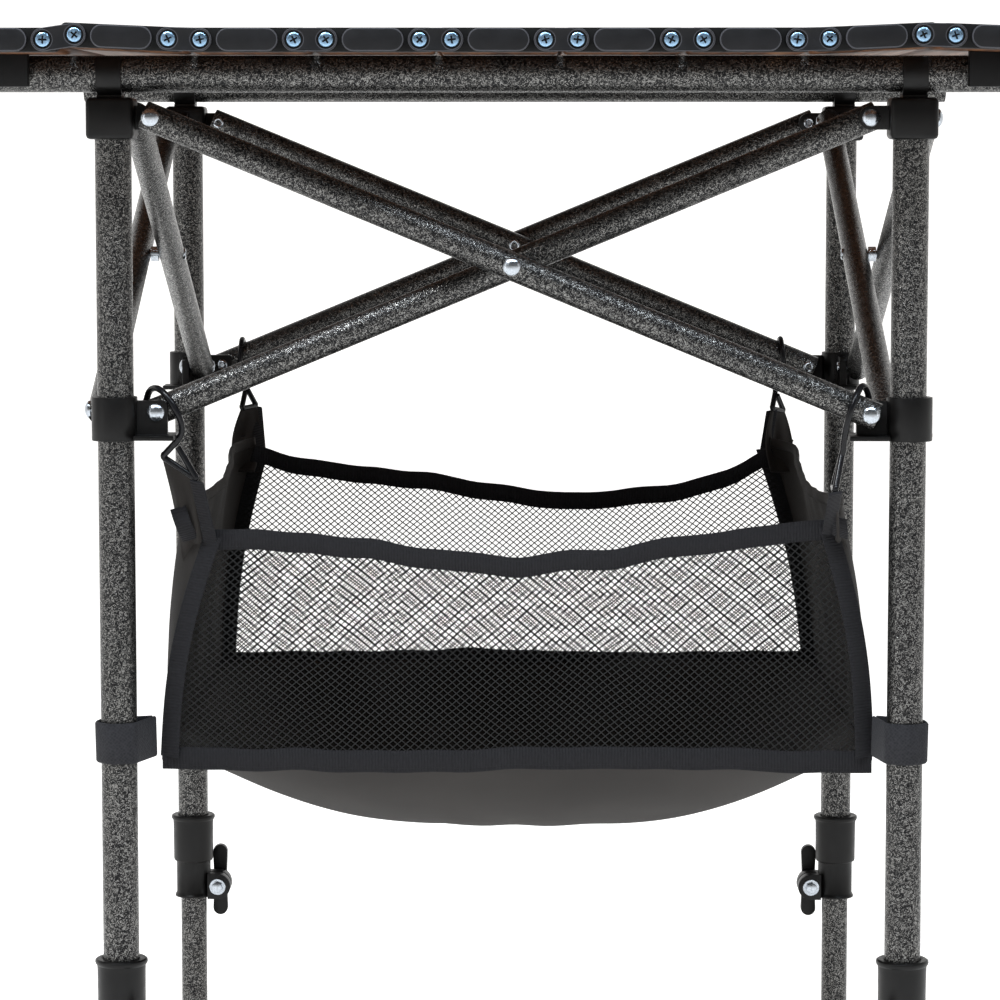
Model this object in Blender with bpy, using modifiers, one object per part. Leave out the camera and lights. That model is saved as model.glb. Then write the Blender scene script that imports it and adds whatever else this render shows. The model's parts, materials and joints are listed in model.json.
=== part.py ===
"""Camp kitchen table: a roll top of hinged slats on a folding scissor frame, with telescoping legs
and a fabric basket hung from the frame.

Metres. +X is the table's right, +Y its back and +Z up. The feet stand on Z = 0, under the middle
of the top.
"""
import math

import bmesh
import bpy
from mathutils import Matrix, Vector

TABLE = "camp_kitchen_table"
GAP = 0.0003                # clearance between pieces that meet

# Frame layout
LEG_SPACING = 0.480         # between leg axes, both ways
FRAME_X = 0.0074            # the frame stands this far to the right of the top's middle
HALF = LEG_SPACING / 2
PIVOT_OUT = 0.0243          # from a leg's axis to the pivots on its ears
PIVOT_HIGH, PIVOT_LOW = 0.7485, 0.5709
EAR_THICK = 0.005

# Leg tubes
UPPER_R, UPPER_BORE = 0.0110, 0.00985
LOWER_R, LOWER_BORE = 0.0095, 0.0083
COLLAR_STEP = 0.2018        # the upper tube stands on this step inside its collar
UPPER_TOP = 0.7572
LOWER_LENGTH = 0.364
FOOT_SOLE = 0.008
FOOT_HEIGHT = 0.030

# Scissor arms
ARM_R, ARM_BORE = 0.0085, 0.0073
ARM_OVERHANG = 0.005        # past each end pivot
ARM_OFFSET = EAR_THICK / 2 + GAP + ARM_R
RIVET_R, RIVET_HEAD_R, RIVET_HEAD = 0.0024, 0.0049, 0.0022

# Top
SLATS = 9
MIDDLE = 5                  # the slat that the others roll up from
PITCH = 0.073
SLAT_WIDE, SLAT_THICK = 0.071, 0.014
SLAT_HALF_LENGTH = 0.311
LINK_THICK = 0.0036
PIN_GAP = 0.0186            # between the two pins of a link plate
PIN_R, PIN_HOLE_R = 0.0019, 0.0024
BLANK_WIDE = 0.036
TOP_Z = 0.800
SLAT_MID = TOP_Z - SLAT_THICK / 2
# The loose chain of slats stands up a little here: slat number, rise of its left and right pin
PIN_RISE = {2: (0.0028, 0.0004), 8: (0.0004, 0.0028), 9: (0.0024, 0.0004)}

# Rails
RAIL_R, RAIL_BORE, RAIL_LENGTH = 0.011, 0.0098, 0.630
RAIL_Z = TOP_Z - SLAT_THICK - 0.0004 - RAIL_R

# Basket
BASKET_TOP = (0.192, 0.212)
BASKET_BOTTOM = (0.219, 0.215)
BASKET_BASE = 0.354
BASKET_RIM, BASKET_RIM_DIP = 0.491, 0.022
BASKET_SAG = 0.069
BASKET_TIP = 0.5225

# Wire hooks between the arms and the basket
HOOK_AT = 0.0165            # along the arm from its lower pivot
HOOK_WIRE_R = 0.0016
HOOK_BEND = ARM_R + HOOK_WIRE_R + 0.0005
HOOK_FOOT = 0.006

CORNERS = {
    "front_left": (-1, -1),
    "front_right": (1, -1),
    "back_right": (1, 1),
    "back_left": (-1, 1),
}
# Each side runs from one corner to the next: its outer arm hangs from the first corner's bracket
SIDES = {
    "front": ("front_left", "front_right", Vector((0, -1, 0))),
    "right": ("front_right", "back_right", Vector((1, 0, 0))),
    "back": ("back_right", "back_left", Vector((0, 1, 0))),
    "left": ("back_left", "front_left", Vector((-1, 0, 0))),
}
HIGH, LOW = "high", "low"


# ---------------------------------------------------------------- scene and materials

def fresh_scene():
    for obj in list(bpy.data.objects):
        bpy.data.objects.remove(obj)
    parts = bpy.data.collections.new(TABLE)
    cutters = bpy.data.collections.new("cutters")
    for collection in (parts, cutters):
        bpy.context.scene.collection.children.link(collection)
    return parts, cutters


PARTS, CUTTERS = fresh_scene()


def material(name, colour, roughness, metallic=0.0):
    made = bpy.data.materials.new(name)
    made.use_nodes = True
    shader = made.node_tree.nodes["Principled BSDF"]
    shader.inputs["Base Color"].default_value = (*colour, 1)
    shader.inputs["Roughness"].default_value = roughness
    shader.inputs["Metallic"].default_value = metallic
    return made


HAMMERTONE = material("hammertone_tube", (0.09, 0.09, 0.085), 0.3, 0.6)
BLACK_PLASTIC = material("black_plastic", (0.012, 0.012, 0.013), 0.45)
RUBBER = material("foot_rubber", (0.015, 0.015, 0.015), 0.8)
STEEL = material("bright_steel", (0.75, 0.76, 0.78), 0.25, 1.0)
SLAT_WOOD = material("walnut_finish", (0.16, 0.07, 0.03), 0.5)
BASKET_CLOTH = material("charcoal_cloth", (0.025, 0.024, 0.024), 0.9)
WEBBING = material("black_webbing", (0.012, 0.012, 0.014), 0.85)
COATED_WIRE = material("coated_wire", (0.014, 0.014, 0.015), 0.35)


# ---------------------------------------------------------------- shape helpers

def place(obj, name, finish):
    """Names an object, gives it its material and files it with the parts."""
    obj.name = name
    obj.data.materials.clear()
    obj.data.materials.append(finish)
    PARTS.objects.link(obj)
    return obj


def from_bmesh(name, shape):
    mesh = bpy.data.meshes.new(name)
    shape.to_mesh(mesh)
    shape.free()
    return bpy.data.objects.new(name, mesh)


def turned(profile, steps, closed=False):
    """Turns a (radius, height) profile about Z. It runs down its outer side."""
    shape = bmesh.new()
    points = [shape.verts.new((radius, 0, height)) for radius, height in profile]
    ends = points[1:] + points[:1] if closed else points[1:]
    for start, end in zip(points, ends):
        shape.edges.new((start, end))
    obj = from_bmesh("turned", shape)
    screw = obj.modifiers.new("turn", "SCREW")
    screw.steps = screw.render_steps = steps
    screw.use_merge_vertices = True
    screw.merge_threshold = 1e-6
    screw.use_smooth_shade = True
    return obj


def tube(outer, bore, low, high, steps=16):
    return turned([(outer, high), (outer, low), (bore, low), (bore, high)], steps, closed=True)


def rod(radius, start, end, sides=12):
    start, end = Vector(start), Vector(end)
    shape = bmesh.new()
    bmesh.ops.create_cone(shape, cap_ends=True, segments=sides, radius1=radius, radius2=radius,
                          depth=(end - start).length)
    turn = (end - start).to_track_quat("Z", "Y").to_matrix().to_4x4()
    shape.transform(Matrix.Translation((start + end) / 2) @ turn)
    return from_bmesh("rod", shape)


def box(low, high):
    low, high = Vector(low), Vector(high)
    shape = bmesh.new()
    bmesh.ops.create_cube(shape, size=1)
    shape.transform(Matrix.Translation((low + high) / 2) @ Matrix.Diagonal((*(high - low), 1)))
    return from_bmesh("box", shape)


def span(a, b):
    return (a, b) if a < b else (b, a)


def arc(centre, radius, start, stop, steps):
    """Points on an arc, angles in degrees, both ends included."""
    angles = [math.radians(start + (stop - start) * i / steps) for i in range(steps + 1)]
    return [(centre[0] + radius * math.cos(a), centre[1] + radius * math.sin(a)) for a in angles]


def plate(outlines, thickness, frame):
    """A flat plate from 2D outlines, centred on its own XY plane, set in place by a matrix."""
    curve = bpy.data.curves.new("outline", "CURVE")
    curve.dimensions = "2D"
    curve.fill_mode = "BOTH"
    curve.extrude = thickness / 2
    for outline in outlines:
        spline = curve.splines.new("POLY")
        spline.points.add(len(outline) - 1)
        for point, (x, y) in zip(spline.points, outline):
            point.co = (x, y, 0, 1)
        spline.use_cyclic_u = True
    return curve_to_mesh(bpy.data.objects.new("outline", curve), frame)


def curve_to_mesh(guide, frame=None):
    CUTTERS.objects.link(guide)
    if frame is not None:
        guide.matrix_world = frame
    graph = bpy.context.evaluated_depsgraph_get()
    mesh = bpy.data.meshes.new_from_object(guide.evaluated_get(graph))
    shape = bmesh.new()
    shape.from_mesh(mesh)
    bmesh.ops.remove_doubles(shape, verts=shape.verts, dist=1e-6)
    bmesh.ops.recalc_face_normals(shape, faces=shape.faces)
    shape.to_mesh(mesh)
    shape.free()
    obj = bpy.data.objects.new(guide.name, mesh)
    obj.matrix_world = guide.matrix_world
    bpy.data.objects.remove(guide)
    return obj


def combine(obj, tool, operation):
    CUTTERS.objects.link(tool)
    tool.hide_render = True
    tool.display_type = "WIRE"
    boolean = obj.modifiers.new(operation.lower(), "BOOLEAN")
    boolean.operation = operation
    boolean.object = tool


def join(obj, *tools):
    for tool in tools:
        combine(obj, tool, "UNION")


def cut(obj, *tools):
    for tool in tools:
        combine(obj, tool, "DIFFERENCE")


def axes(origin, x, y):
    """A matrix whose own X and Y run along two given directions."""
    x, y = Vector(x).normalized(), Vector(y).normalized()
    z = x.cross(y)
    return Matrix.Translation(origin) @ Matrix((x, y, z)).transposed().to_4x4()


def smooth(obj, degrees=35):
    obj.data.shade_smooth()
    obj.data.set_sharp_from_angle(angle=math.radians(degrees))


# ---------------------------------------------------------------- places on the frame

def leg_axis(corner, height=0.0):
    x, y = CORNERS[corner]
    return Vector((FRAME_X + x * HALF, y * HALF, height))


def other_corner(side, corner):
    first, last, _ = SIDES[side]
    return last if corner == first else first


def pivot(side, corner, level):
    """The pivot on a corner's ear for one side, in the plane of the leg axes."""
    height = PIVOT_HIGH if level == HIGH else PIVOT_LOW
    here, there = leg_axis(corner, height), leg_axis(other_corner(side, corner), height)
    return here + (there - here).normalized() * PIVOT_OUT


def sides_of(corner):
    return [side for side, (first, last, _) in SIDES.items() if corner in (first, last)]


def towards(side, corner):
    """Unit vector from a corner along a side."""
    here, there = leg_axis(corner), leg_axis(other_corner(side, corner))
    return (there - here).normalized()


# ---------------------------------------------------------------- legs

def upper_leg(corner):
    obj = tube(UPPER_R, UPPER_BORE, COLLAR_STEP + GAP, UPPER_TOP)
    obj.location = leg_axis(corner)
    return place(obj, f"upper_leg_{corner}", HAMMERTONE)


def lower_leg(corner):
    bottom = FOOT_SOLE + GAP
    obj = tube(LOWER_R, LOWER_BORE, bottom, bottom + LOWER_LENGTH)
    obj.location = leg_axis(corner)
    return place(obj, f"lower_leg_{corner}", HAMMERTONE)


def foot(corner):
    socket = LOWER_R + GAP
    profile = [
        (0, FOOT_SOLE), (socket, FOOT_SOLE), (socket, FOOT_HEIGHT), (0.0115, FOOT_HEIGHT),
        (0.0135, 0.005), (0.0125, 0), (0, 0),
    ]
    obj = turned(profile, 16)
    obj.location = leg_axis(corner)
    return place(obj, f"foot_{corner}", RUBBER)


# ---------------------------------------------------------------- clamping collar and its knob

CLAMP_Z = 0.1813            # height of the clamp's bolt
CLAMP_OUT = 0.0185          # from the leg's axis to the bolt
CLAMP_R = 0.0095
CLAMP_HALF = 0.010          # half the clamp ears' thickness, along the bolt
BOLT_R = 0.003


def clamp_centre(corner):
    x, _ = CORNERS[corner]
    return leg_axis(corner, CLAMP_Z) + Vector((-x * CLAMP_OUT, 0, 0))


def collar(corner):
    bottom, rim, top = 0.1730, 0.2313, 0.2386
    upper_bore, lower_bore = UPPER_R + 0.00035, LOWER_R + 0.00035
    profile = [
        (upper_bore, top), (0.0162, top - 0.001), (0.0162, rim + 0.001), (0.0146, rim),
        (0.0146, COLLAR_STEP), (0.0126, COLLAR_STEP - 0.001), (0.0126, bottom),
        (lower_bore, bottom), (lower_bore, COLLAR_STEP), (upper_bore, COLLAR_STEP),
    ]
    obj = turned(profile, 16, closed=True)
    obj.location = leg_axis(corner)
    x, _ = CORNERS[corner]
    inward = Vector((-x, 0, 0))
    root = CLAMP_OUT - 0.0110
    outline = [(-root, -CLAMP_R), *arc((0, 0), CLAMP_R, -90, 90, 5), (-root, CLAMP_R)]
    ears = plate([outline], 2 * CLAMP_HALF, axes(clamp_centre(corner), inward, (0, 0, 1)))
    join(obj, ears)
    middle, axis = clamp_centre(corner), leg_axis(corner)
    slot_x = span(axis.x - x * 0.0088, axis.x - x * 0.030)
    slot = box((slot_x[0], middle.y - 0.0011, CLAMP_Z - 0.020),
               (slot_x[1], middle.y + 0.0011, CLAMP_Z + 0.0125))
    along = Vector((0, CLAMP_HALF + 0.002, 0))
    cut(obj, slot, rod(BOLT_R + 0.0004, middle - along, middle + along, 10))
    return place(obj, f"collar_{corner}", BLACK_PLASTIC)


def clamp_knob(corner):
    """A wing knob on the outer side of the clamp, with the bolt that it draws up."""
    x, y = CORNERS[corner]
    middle, outward = clamp_centre(corner), Vector((0, y, 0))
    face = middle + outward * (CLAMP_HALF + GAP)
    obj = rod(0.0085, face, face + outward * 0.006, 14)
    lean = math.radians(12) * x
    up = Vector((math.sin(lean), 0, math.cos(lean)))
    lobe, reach, waist = 0.0075, 0.0205, 0.0055
    outline = [
        *arc((reach, 0), lobe, -90, 90, 5), (0, waist),
        *arc((-reach, 0), lobe, 90, 270, 5), (0, -waist),
    ]
    wing = plate([outline], 0.0065, axes(face + outward * 0.0088, up, outward.cross(up)))
    shaft = rod(BOLT_R, face + outward * 0.004, middle - outward * (CLAMP_HALF + 0.003), 10)
    inner_face = middle - outward * (CLAMP_HALF + GAP)
    head = rod(0.006, inner_face, inner_face - outward * 0.0055, 14)
    join(obj, wing, shaft, head)
    return place(obj, f"clamp_knob_{corner}", BLACK_PLASTIC)


# ---------------------------------------------------------------- top brackets and sliders

def ear_frame(side, corner, level):
    return axes(pivot(side, corner, level), towards(side, corner), (0, 0, 1))


def pivot_hole(side, corner, level):
    centre, normal = pivot(side, corner, level), SIDES[side][2]
    return rod(RIVET_R + 0.0004, centre - normal * 0.006, centre + normal * 0.006, 10)


def rail_clip(corner):
    """An open band that the rail snaps into."""
    middle = leg_axis(corner, RAIL_Z)
    outer, inner = RAIL_R + 0.0032, RAIL_R + 0.00035
    outline = arc((0, 0), outer, 135, 405, 8) + arc((0, 0), inner, 405, 135, 12)
    return plate([outline], 0.014, axes(middle, (0, 1, 0), (0, 0, 1)))


def top_bracket(corner):
    bottom, top, half = 0.7355, 0.7605, 0.0140
    axis = leg_axis(corner)
    obj = box(axis + Vector((-half, -half, bottom)), axis + Vector((half, half, top)))
    bevel = obj.modifiers.new("chamfer", "BEVEL")
    bevel.width = 0.0025
    bevel.segments = 1
    for side in sides_of(corner):
        root = 0.0120 - PIVOT_OUT
        outline = [(root, -0.0072), *arc((0, 0), 0.0072, -90, 90, 5), (root, 0.0072)]
        join(obj, plate([outline], EAR_THICK, ear_frame(side, corner, HIGH)))
    saddle_z = (top - 0.002, RAIL_Z - RAIL_R - 0.0015)
    saddle = box(axis + Vector((-0.0070, -0.0095, saddle_z[0])), axis + Vector((0.0070, 0.0095, saddle_z[1])))
    join(obj, saddle, rail_clip(corner))
    cut(obj, rod(UPPER_R + 0.00035, leg_axis(corner, bottom - 0.01), leg_axis(corner, UPPER_TOP + GAP), 16))
    for side in sides_of(corner):
        cut(obj, pivot_hole(side, corner, HIGH))
    return place(obj, f"top_bracket_{corner}", BLACK_PLASTIC)


def slider(corner):
    """A ring that runs on the upper leg, with an ear and a bottom flange towards each side."""
    bottom, top, flange = 0.5540, 0.5805, 0.0028
    ring_r = 0.0132
    obj = tube(ring_r, UPPER_R + 0.00035, bottom, top)
    obj.location = leg_axis(corner)
    floor = bottom + 0.0008 - PIVOT_LOW
    root, reach = 0.0122 - PIVOT_OUT, 0.0072
    for side in sides_of(corner):
        outline = [
            (root, floor), (reach, floor), (reach, 0), *arc((0, 0), reach, 22.5, 90, 3),
            (root, reach),
        ]
        join(obj, plate([outline], EAR_THICK, ear_frame(side, corner, LOW)))
    for side in sides_of(corner):
        along, normal = towards(side, corner), SIDES[side][2]
        start = leg_axis(corner, bottom + 0.0008) + along * 0.0122
        end = leg_axis(corner, bottom + 0.0008 + flange) + along * 0.0365
        a, b = start - normal * 0.0163, end + normal * 0.0163
        low = [min(p, q) for p, q in zip(a, b)]
        high = [max(p, q) for p, q in zip(a, b)]
        join(obj, box(low, high))
    cut(obj, rod(UPPER_R + 0.00035, leg_axis(corner, bottom - 0.01), leg_axis(corner, top + 0.01), 16))
    for side in sides_of(corner):
        cut(obj, pivot_hole(side, corner, LOW))
    return place(obj, f"slider_{corner}", BLACK_PLASTIC)


# ---------------------------------------------------------------- scissor arms

def arm_ends(side, layer):
    """Upper and lower pivot of an arm, moved to the arm's own layer."""
    first, last, normal = SIDES[side]
    if layer == "inner":
        first, last = last, first
    shift = normal * (ARM_OFFSET if layer == "outer" else -ARM_OFFSET)
    return pivot(side, first, HIGH) + shift, pivot(side, last, LOW) + shift


def rivet_set(obj, centre, normal, layer):
    """A rivet head on the arm's free side, and its shank from the arm through the ear."""
    flip = 1 if layer == "outer" else -1
    crest = centre + normal * flip * (ARM_R - 0.0011)
    inner_wall = centre - normal * flip * (ARM_BORE + 0.0006)
    ear_far = centre - normal * flip * (ARM_OFFSET + EAR_THICK / 2 + GAP)
    join(obj, rod(RIVET_HEAD_R, crest, crest + normal * flip * RIVET_HEAD, 10),
         rod(RIVET_R, inner_wall, ear_far - normal * flip * 0.0010, 8),
         rod(0.0040, ear_far, ear_far - normal * flip * 0.0014, 10))


def arm(side, layer):
    upper, lower = arm_ends(side, layer)
    normal = SIDES[side][2]
    length = (upper - lower).length
    obj = tube(ARM_R, ARM_BORE, -length / 2 - ARM_OVERHANG, length / 2 + ARM_OVERHANG, 12)
    turn = (upper - lower).to_track_quat("Z", "Y").to_matrix().to_4x4()
    obj.matrix_world = Matrix.Translation((upper + lower) / 2) @ turn
    rivet_set(obj, upper, normal, layer)
    rivet_set(obj, lower, normal, layer)
    middle = (upper + lower) / 2
    cut(obj, rod(RIVET_R + 0.0004, middle - normal * 0.012, middle + normal * 0.012, 8))
    return place(obj, f"arm_{side}_{layer}", HAMMERTONE)


def centre_rivet(side):
    """Joins a side's two arms where they cross, with a spacer between them."""
    normal = SIDES[side][2]
    middle = sum((sum(arm_ends(side, layer), Vector()) for layer in ("outer", "inner")), Vector()) / 4
    face = ARM_OFFSET + ARM_R + GAP
    spacer = ARM_OFFSET - ARM_R - GAP
    profile = [
        (0, face + RIVET_HEAD), (RIVET_HEAD_R, face), (RIVET_R, face), (RIVET_R, spacer),
        (0.0050, spacer), (0.0050, -spacer), (RIVET_R, -spacer), (RIVET_R, -face),
        (0.0040, -face), (0.0040, -face - 0.0014), (0, -face - 0.0014),
    ]
    obj = turned(profile, 8)
    obj.matrix_world = Matrix.Translation(middle) @ normal.to_track_quat("Z", "Y").to_matrix().to_4x4()
    return place(obj, f"centre_rivet_{side}", STEEL)


# ---------------------------------------------------------------- rails

def rail(y_side):
    obj = tube(RAIL_R, RAIL_BORE, -RAIL_LENGTH / 2, RAIL_LENGTH / 2)
    obj.rotation_euler = (0, math.pi / 2, 0)
    obj.location = (FRAME_X, y_side * HALF, RAIL_Z)
    return place(obj, "rail_front" if y_side < 0 else "rail_back", HAMMERTONE)


# ---------------------------------------------------------------- roll top

def step_along(length, rise):
    return math.sqrt(length * length - rise * rise)


def slat_pins():
    """Left and right pin of each slat, as (x, z), walking outwards from the middle slat."""
    reach = PITCH - PIN_GAP
    rise = {k: PIN_RISE.get(k, (0.0, 0.0)) for k in range(1, SLATS + 1)}
    pins = {MIDDLE: ((-reach / 2, rise[MIDDLE][0]), (reach / 2, rise[MIDDLE][1]))}
    for k in range(MIDDLE + 1, SLATS + 1):
        x, z = pins[k - 1][1]
        x += step_along(PIN_GAP, rise[k][0] - z)
        pins[k] = (x, rise[k][0]), (x + step_along(reach, rise[k][1] - rise[k][0]), rise[k][1])
    for k in range(MIDDLE - 1, 0, -1):
        x, z = pins[k + 1][0]
        x -= step_along(PIN_GAP, rise[k][1] - z)
        pins[k] = (x - step_along(reach, rise[k][1] - rise[k][0]), rise[k][0]), (x, rise[k][1])
    return {k: [Vector((x, 0, SLAT_MID + z)) for x, z in pair] for k, pair in pins.items()}


def stadium(half_length, radius, steps=4):
    return (arc((half_length, 0), radius, -90, 90, steps)
            + arc((-half_length, 0), radius, 90, 270, steps))


def slat_section():
    half_w, half_t, r = SLAT_WIDE / 2, SLAT_THICK / 2, 0.003
    corners = ((half_w - r, half_t - r, 0), (r - half_w, half_t - r, 90),
               (r - half_w, r - half_t, 180), (half_w - r, r - half_t, 270))
    return [point for x, z, start in corners for point in arc((x, z), r, start, start + 90, 1)]


def link_parts(pin, next_pin):
    """A link plate at the back end, fixed to one slat at its pin and pinned into the next."""
    along = next_pin - pin
    seat = SLAT_HALF_LENGTH + GAP
    middle = (pin + next_pin) / 2 + Vector((0, seat + LINK_THICK / 2, 0))
    bar_frame = axes(middle, along, along.cross(Vector((0, 1, 0))))
    bar = plate([stadium(along.length / 2, 0.0068)], LINK_THICK, bar_frame)
    post_end = Vector((0, seat + 0.001, 0))
    post = rod(0.0035, pin + Vector((0, SLAT_HALF_LENGTH - 0.002, 0)), pin + post_end, 6)
    stub = rod(PIN_R, next_pin + Vector((0, SLAT_HALF_LENGTH - 0.009, 0)), next_pin + post_end, 8)
    return bar, post, stub


def slat(number, pins):
    """One hollow slat with its moulded ends and the link plates on its side towards the middle."""
    left, right = pins[number]
    middle, along = (left + right) / 2, right - left
    frame = axes(middle, along, along.cross(Vector((0, 1, 0))))
    obj = plate([slat_section()], 2 * SLAT_HALF_LENGTH, frame)
    wall, cap = 0.0012, 0.013
    cavity_half = Vector((SLAT_WIDE / 2 - 0.0022, SLAT_THICK / 2 - wall, SLAT_HALF_LENGTH - cap))
    cavity = box(-cavity_half, cavity_half)
    cavity.matrix_world = frame
    drain_y = SLAT_HALF_LENGTH - cap - 0.004
    drain = rod(0.002, middle + Vector((0, drain_y, -0.012)), middle + Vector((0, drain_y, 0)), 6)
    cut(obj, cavity, drain)
    blank_at = middle + Vector((0, SLAT_HALF_LENGTH + 0.0010, 0))
    blank_frame = axes(blank_at, along, along.cross(Vector((0, 1, 0))))
    join(obj, plate([stadium(BLANK_WIDE / 2 - 0.0068, 0.0068)], 0.0058, blank_frame))
    if number < MIDDLE:
        join(obj, *link_parts(right, pins[number + 1][0]))
    if number > MIDDLE:
        join(obj, *link_parts(left, pins[number - 1][1]))
    bored = [left] * (1 < number <= MIDDLE) + [right] * (MIDDLE <= number < SLATS)
    for pin in bored:
        mouth = Vector((0, SLAT_HALF_LENGTH + 0.002, 0))
        cut(obj, rod(PIN_HOLE_R, pin + Vector((0, SLAT_HALF_LENGTH - 0.0095, 0)), pin + mouth, 8))
    if number in (1, SLATS):
        lug_y = HALF + RAIL_R + 0.0005
        low = middle + Vector((-0.0145, lug_y, RAIL_Z - 0.008 - middle.z))
        high = middle + Vector((0.0145, lug_y + 0.0085, SLAT_MID - 0.005 - middle.z))
        join(obj, box(low, high))
    mirror = obj.modifiers.new("other_end", "MIRROR")
    mirror.use_axis = (False, False, True)
    mirror.use_bisect_axis = (False, False, True)
    # the plate's own Z runs to the front, so the half that is kept is the one towards the back
    mirror.use_bisect_flip_axis = (False, False, True)
    mirror.merge_threshold = 1e-5
    mirror.bisect_threshold = 1e-5
    return place(obj, f"slat_{number}", SLAT_WOOD)


# ---------------------------------------------------------------- basket, its hooks and straps

def tip_y(corner):
    """How far out a basket corner is pulled: to the outer or the inner arm's hook."""
    y = CORNERS[corner][1]
    return y * (0.246 if corner in ("front_right", "back_left") else 0.228)


def basket_point(u, v, floor=0.6):
    """A point of the basket from a square sheet: its middle part is the floor, the rest the walls."""
    m = max(abs(u), abs(v))
    if m <= floor + 1e-6:
        s, t = u / floor, v / floor
        sag = BASKET_SAG * (1 - s * s) * (1 - t * t)
        return Vector((s * BASKET_BOTTOM[0], t * BASKET_BOTTOM[1], BASKET_BASE - sag))
    s, t, up = u / m, v / m, (m - floor) / (1 - floor)
    along = min(abs(s), abs(t))
    rim = BASKET_RIM - BASKET_RIM_DIP * (1 - along * along)
    half_x = BASKET_BOTTOM[0] + (BASKET_TOP[0] - BASKET_BOTTOM[0]) * up
    half_y = BASKET_BOTTOM[1] + (BASKET_TOP[1] - BASKET_BOTTOM[1]) * up
    return Vector((s * half_x, t * half_y, BASKET_BASE + (rim - BASKET_BASE) * up))


def basket():
    steps = 10
    shape = bmesh.new()
    bmesh.ops.create_grid(shape, x_segments=steps, y_segments=steps, size=1)
    tips = {CORNERS[corner]: tip_y(corner) for corner in CORNERS}
    for vertex in shape.verts:
        u, v = vertex.co.x, vertex.co.y
        vertex.co = basket_point(u, v)
        if min(abs(u), abs(v)) > 0.61 and abs(abs(u) - abs(v)) < 0.01:
            x, y = (1 if u > 0 else -1), (1 if v > 0 else -1)
            low = Vector((x * BASKET_BOTTOM[0], y * BASKET_BOTTOM[1], BASKET_BASE))
            tip = Vector((x * BASKET_TOP[0], tips[x, y], BASKET_TIP))
            vertex.co = low.lerp(tip, (abs(u) - 0.6) / 0.4)
        vertex.co.x += FRAME_X
    obj = from_bmesh("basket", shape)
    wall = obj.modifiers.new("cloth", "SOLIDIFY")
    wall.thickness = 0.002
    wall.offset = 0
    return place(obj, "basket", BASKET_CLOTH)


def hook_arm(corner):
    """The side and layer of the arm that ends at this corner's slider and carries its hook."""
    side = "front" if CORNERS[corner][1] < 0 else "back"
    return side, "outer" if corner in ("front_right", "back_left") else "inner"


def hook_seat(corner):
    """The middle of the arm under the hook, the way up across the arm, and the way out."""
    side, layer = hook_arm(corner)
    upper, lower = arm_ends(side, layer)
    along, out = (upper - lower).normalized(), SIDES[side][2]
    over = along.cross(out)
    return lower + along * HOOK_AT, (over if over.z > 0 else -over), out


def hook_swing(corner):
    """Where the wire bears on the arm: the hook swings about this point."""
    centre, over, _ = hook_seat(corner)
    return centre + over * HOOK_BEND


def hook(corner):
    """An S-hook over the arm that ends at this corner, with its lower bend under the basket's tab."""
    x, _ = CORNERS[corner]
    centre, over, out = hook_seat(corner)
    path = [centre + over * z + out * d for d, z in arc((0, 0), HOOK_BEND, 165, 0, 7)]
    down = Vector((-x * 0.26, 0, -0.966))
    start = path[-1]
    path += [start - over * 0.008 + down * 0.002, start - over * 0.006 + down * 0.038]
    bottom = path[-1] - out * HOOK_FOOT
    path += [bottom + out * d + Vector((0, 0, z)) for d, z in arc((0, 0), HOOK_FOOT, -30, -180, 4)]
    path.append(path[-1] + Vector((0, 0, 0.006)))
    curve = bpy.data.curves.new("wire", "CURVE")
    curve.dimensions = "3D"
    curve.bevel_depth = HOOK_WIRE_R
    curve.bevel_resolution = 2
    curve.use_fill_caps = True
    spline = curve.splines.new("POLY")
    spline.points.add(len(path) - 1)
    for point, at in zip(spline.points, path):
        point.co = (*at, 1)
    obj = curve_to_mesh(bpy.data.objects.new("wire", curve))
    smooth(obj, 60)
    return place(obj, f"s_hook_{corner}", COATED_WIRE)


def strap(corner):
    """A hook-and-loop strap round the leg, sewn to the basket's lower corner."""
    x, y = CORNERS[corner]
    ring, tip_at, tip_r = 0.0132, 0.0275, 0.0022
    corner_at = Vector((FRAME_X + x * BASKET_BOTTOM[0], y * BASKET_BOTTOM[1], 0))
    along = (corner_at - leg_axis(corner)).normalized()
    lean = math.degrees(math.acos((ring - tip_r) / tip_at))
    outline = arc((0, 0), ring, lean, 360 - lean, 12) + arc((tip_at, 0), tip_r, -lean, lean, 3)
    hole = arc((0, 0), UPPER_R + 0.0005, 0, 360 - 22.5, 15)
    frame = axes(leg_axis(corner, 0.3695), along, Vector((0, 0, 1)).cross(along))
    obj = plate([outline, hole], 0.025, frame)
    return place(obj, f"strap_{corner}", WEBBING)


# ---------------------------------------------------------------- bodies, each with an empty on its joint

def mid_arms(side):
    return (sum(arm_ends(side, "outer"), Vector()) + sum(arm_ends(side, "inner"), Vector())) / 4


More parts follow.
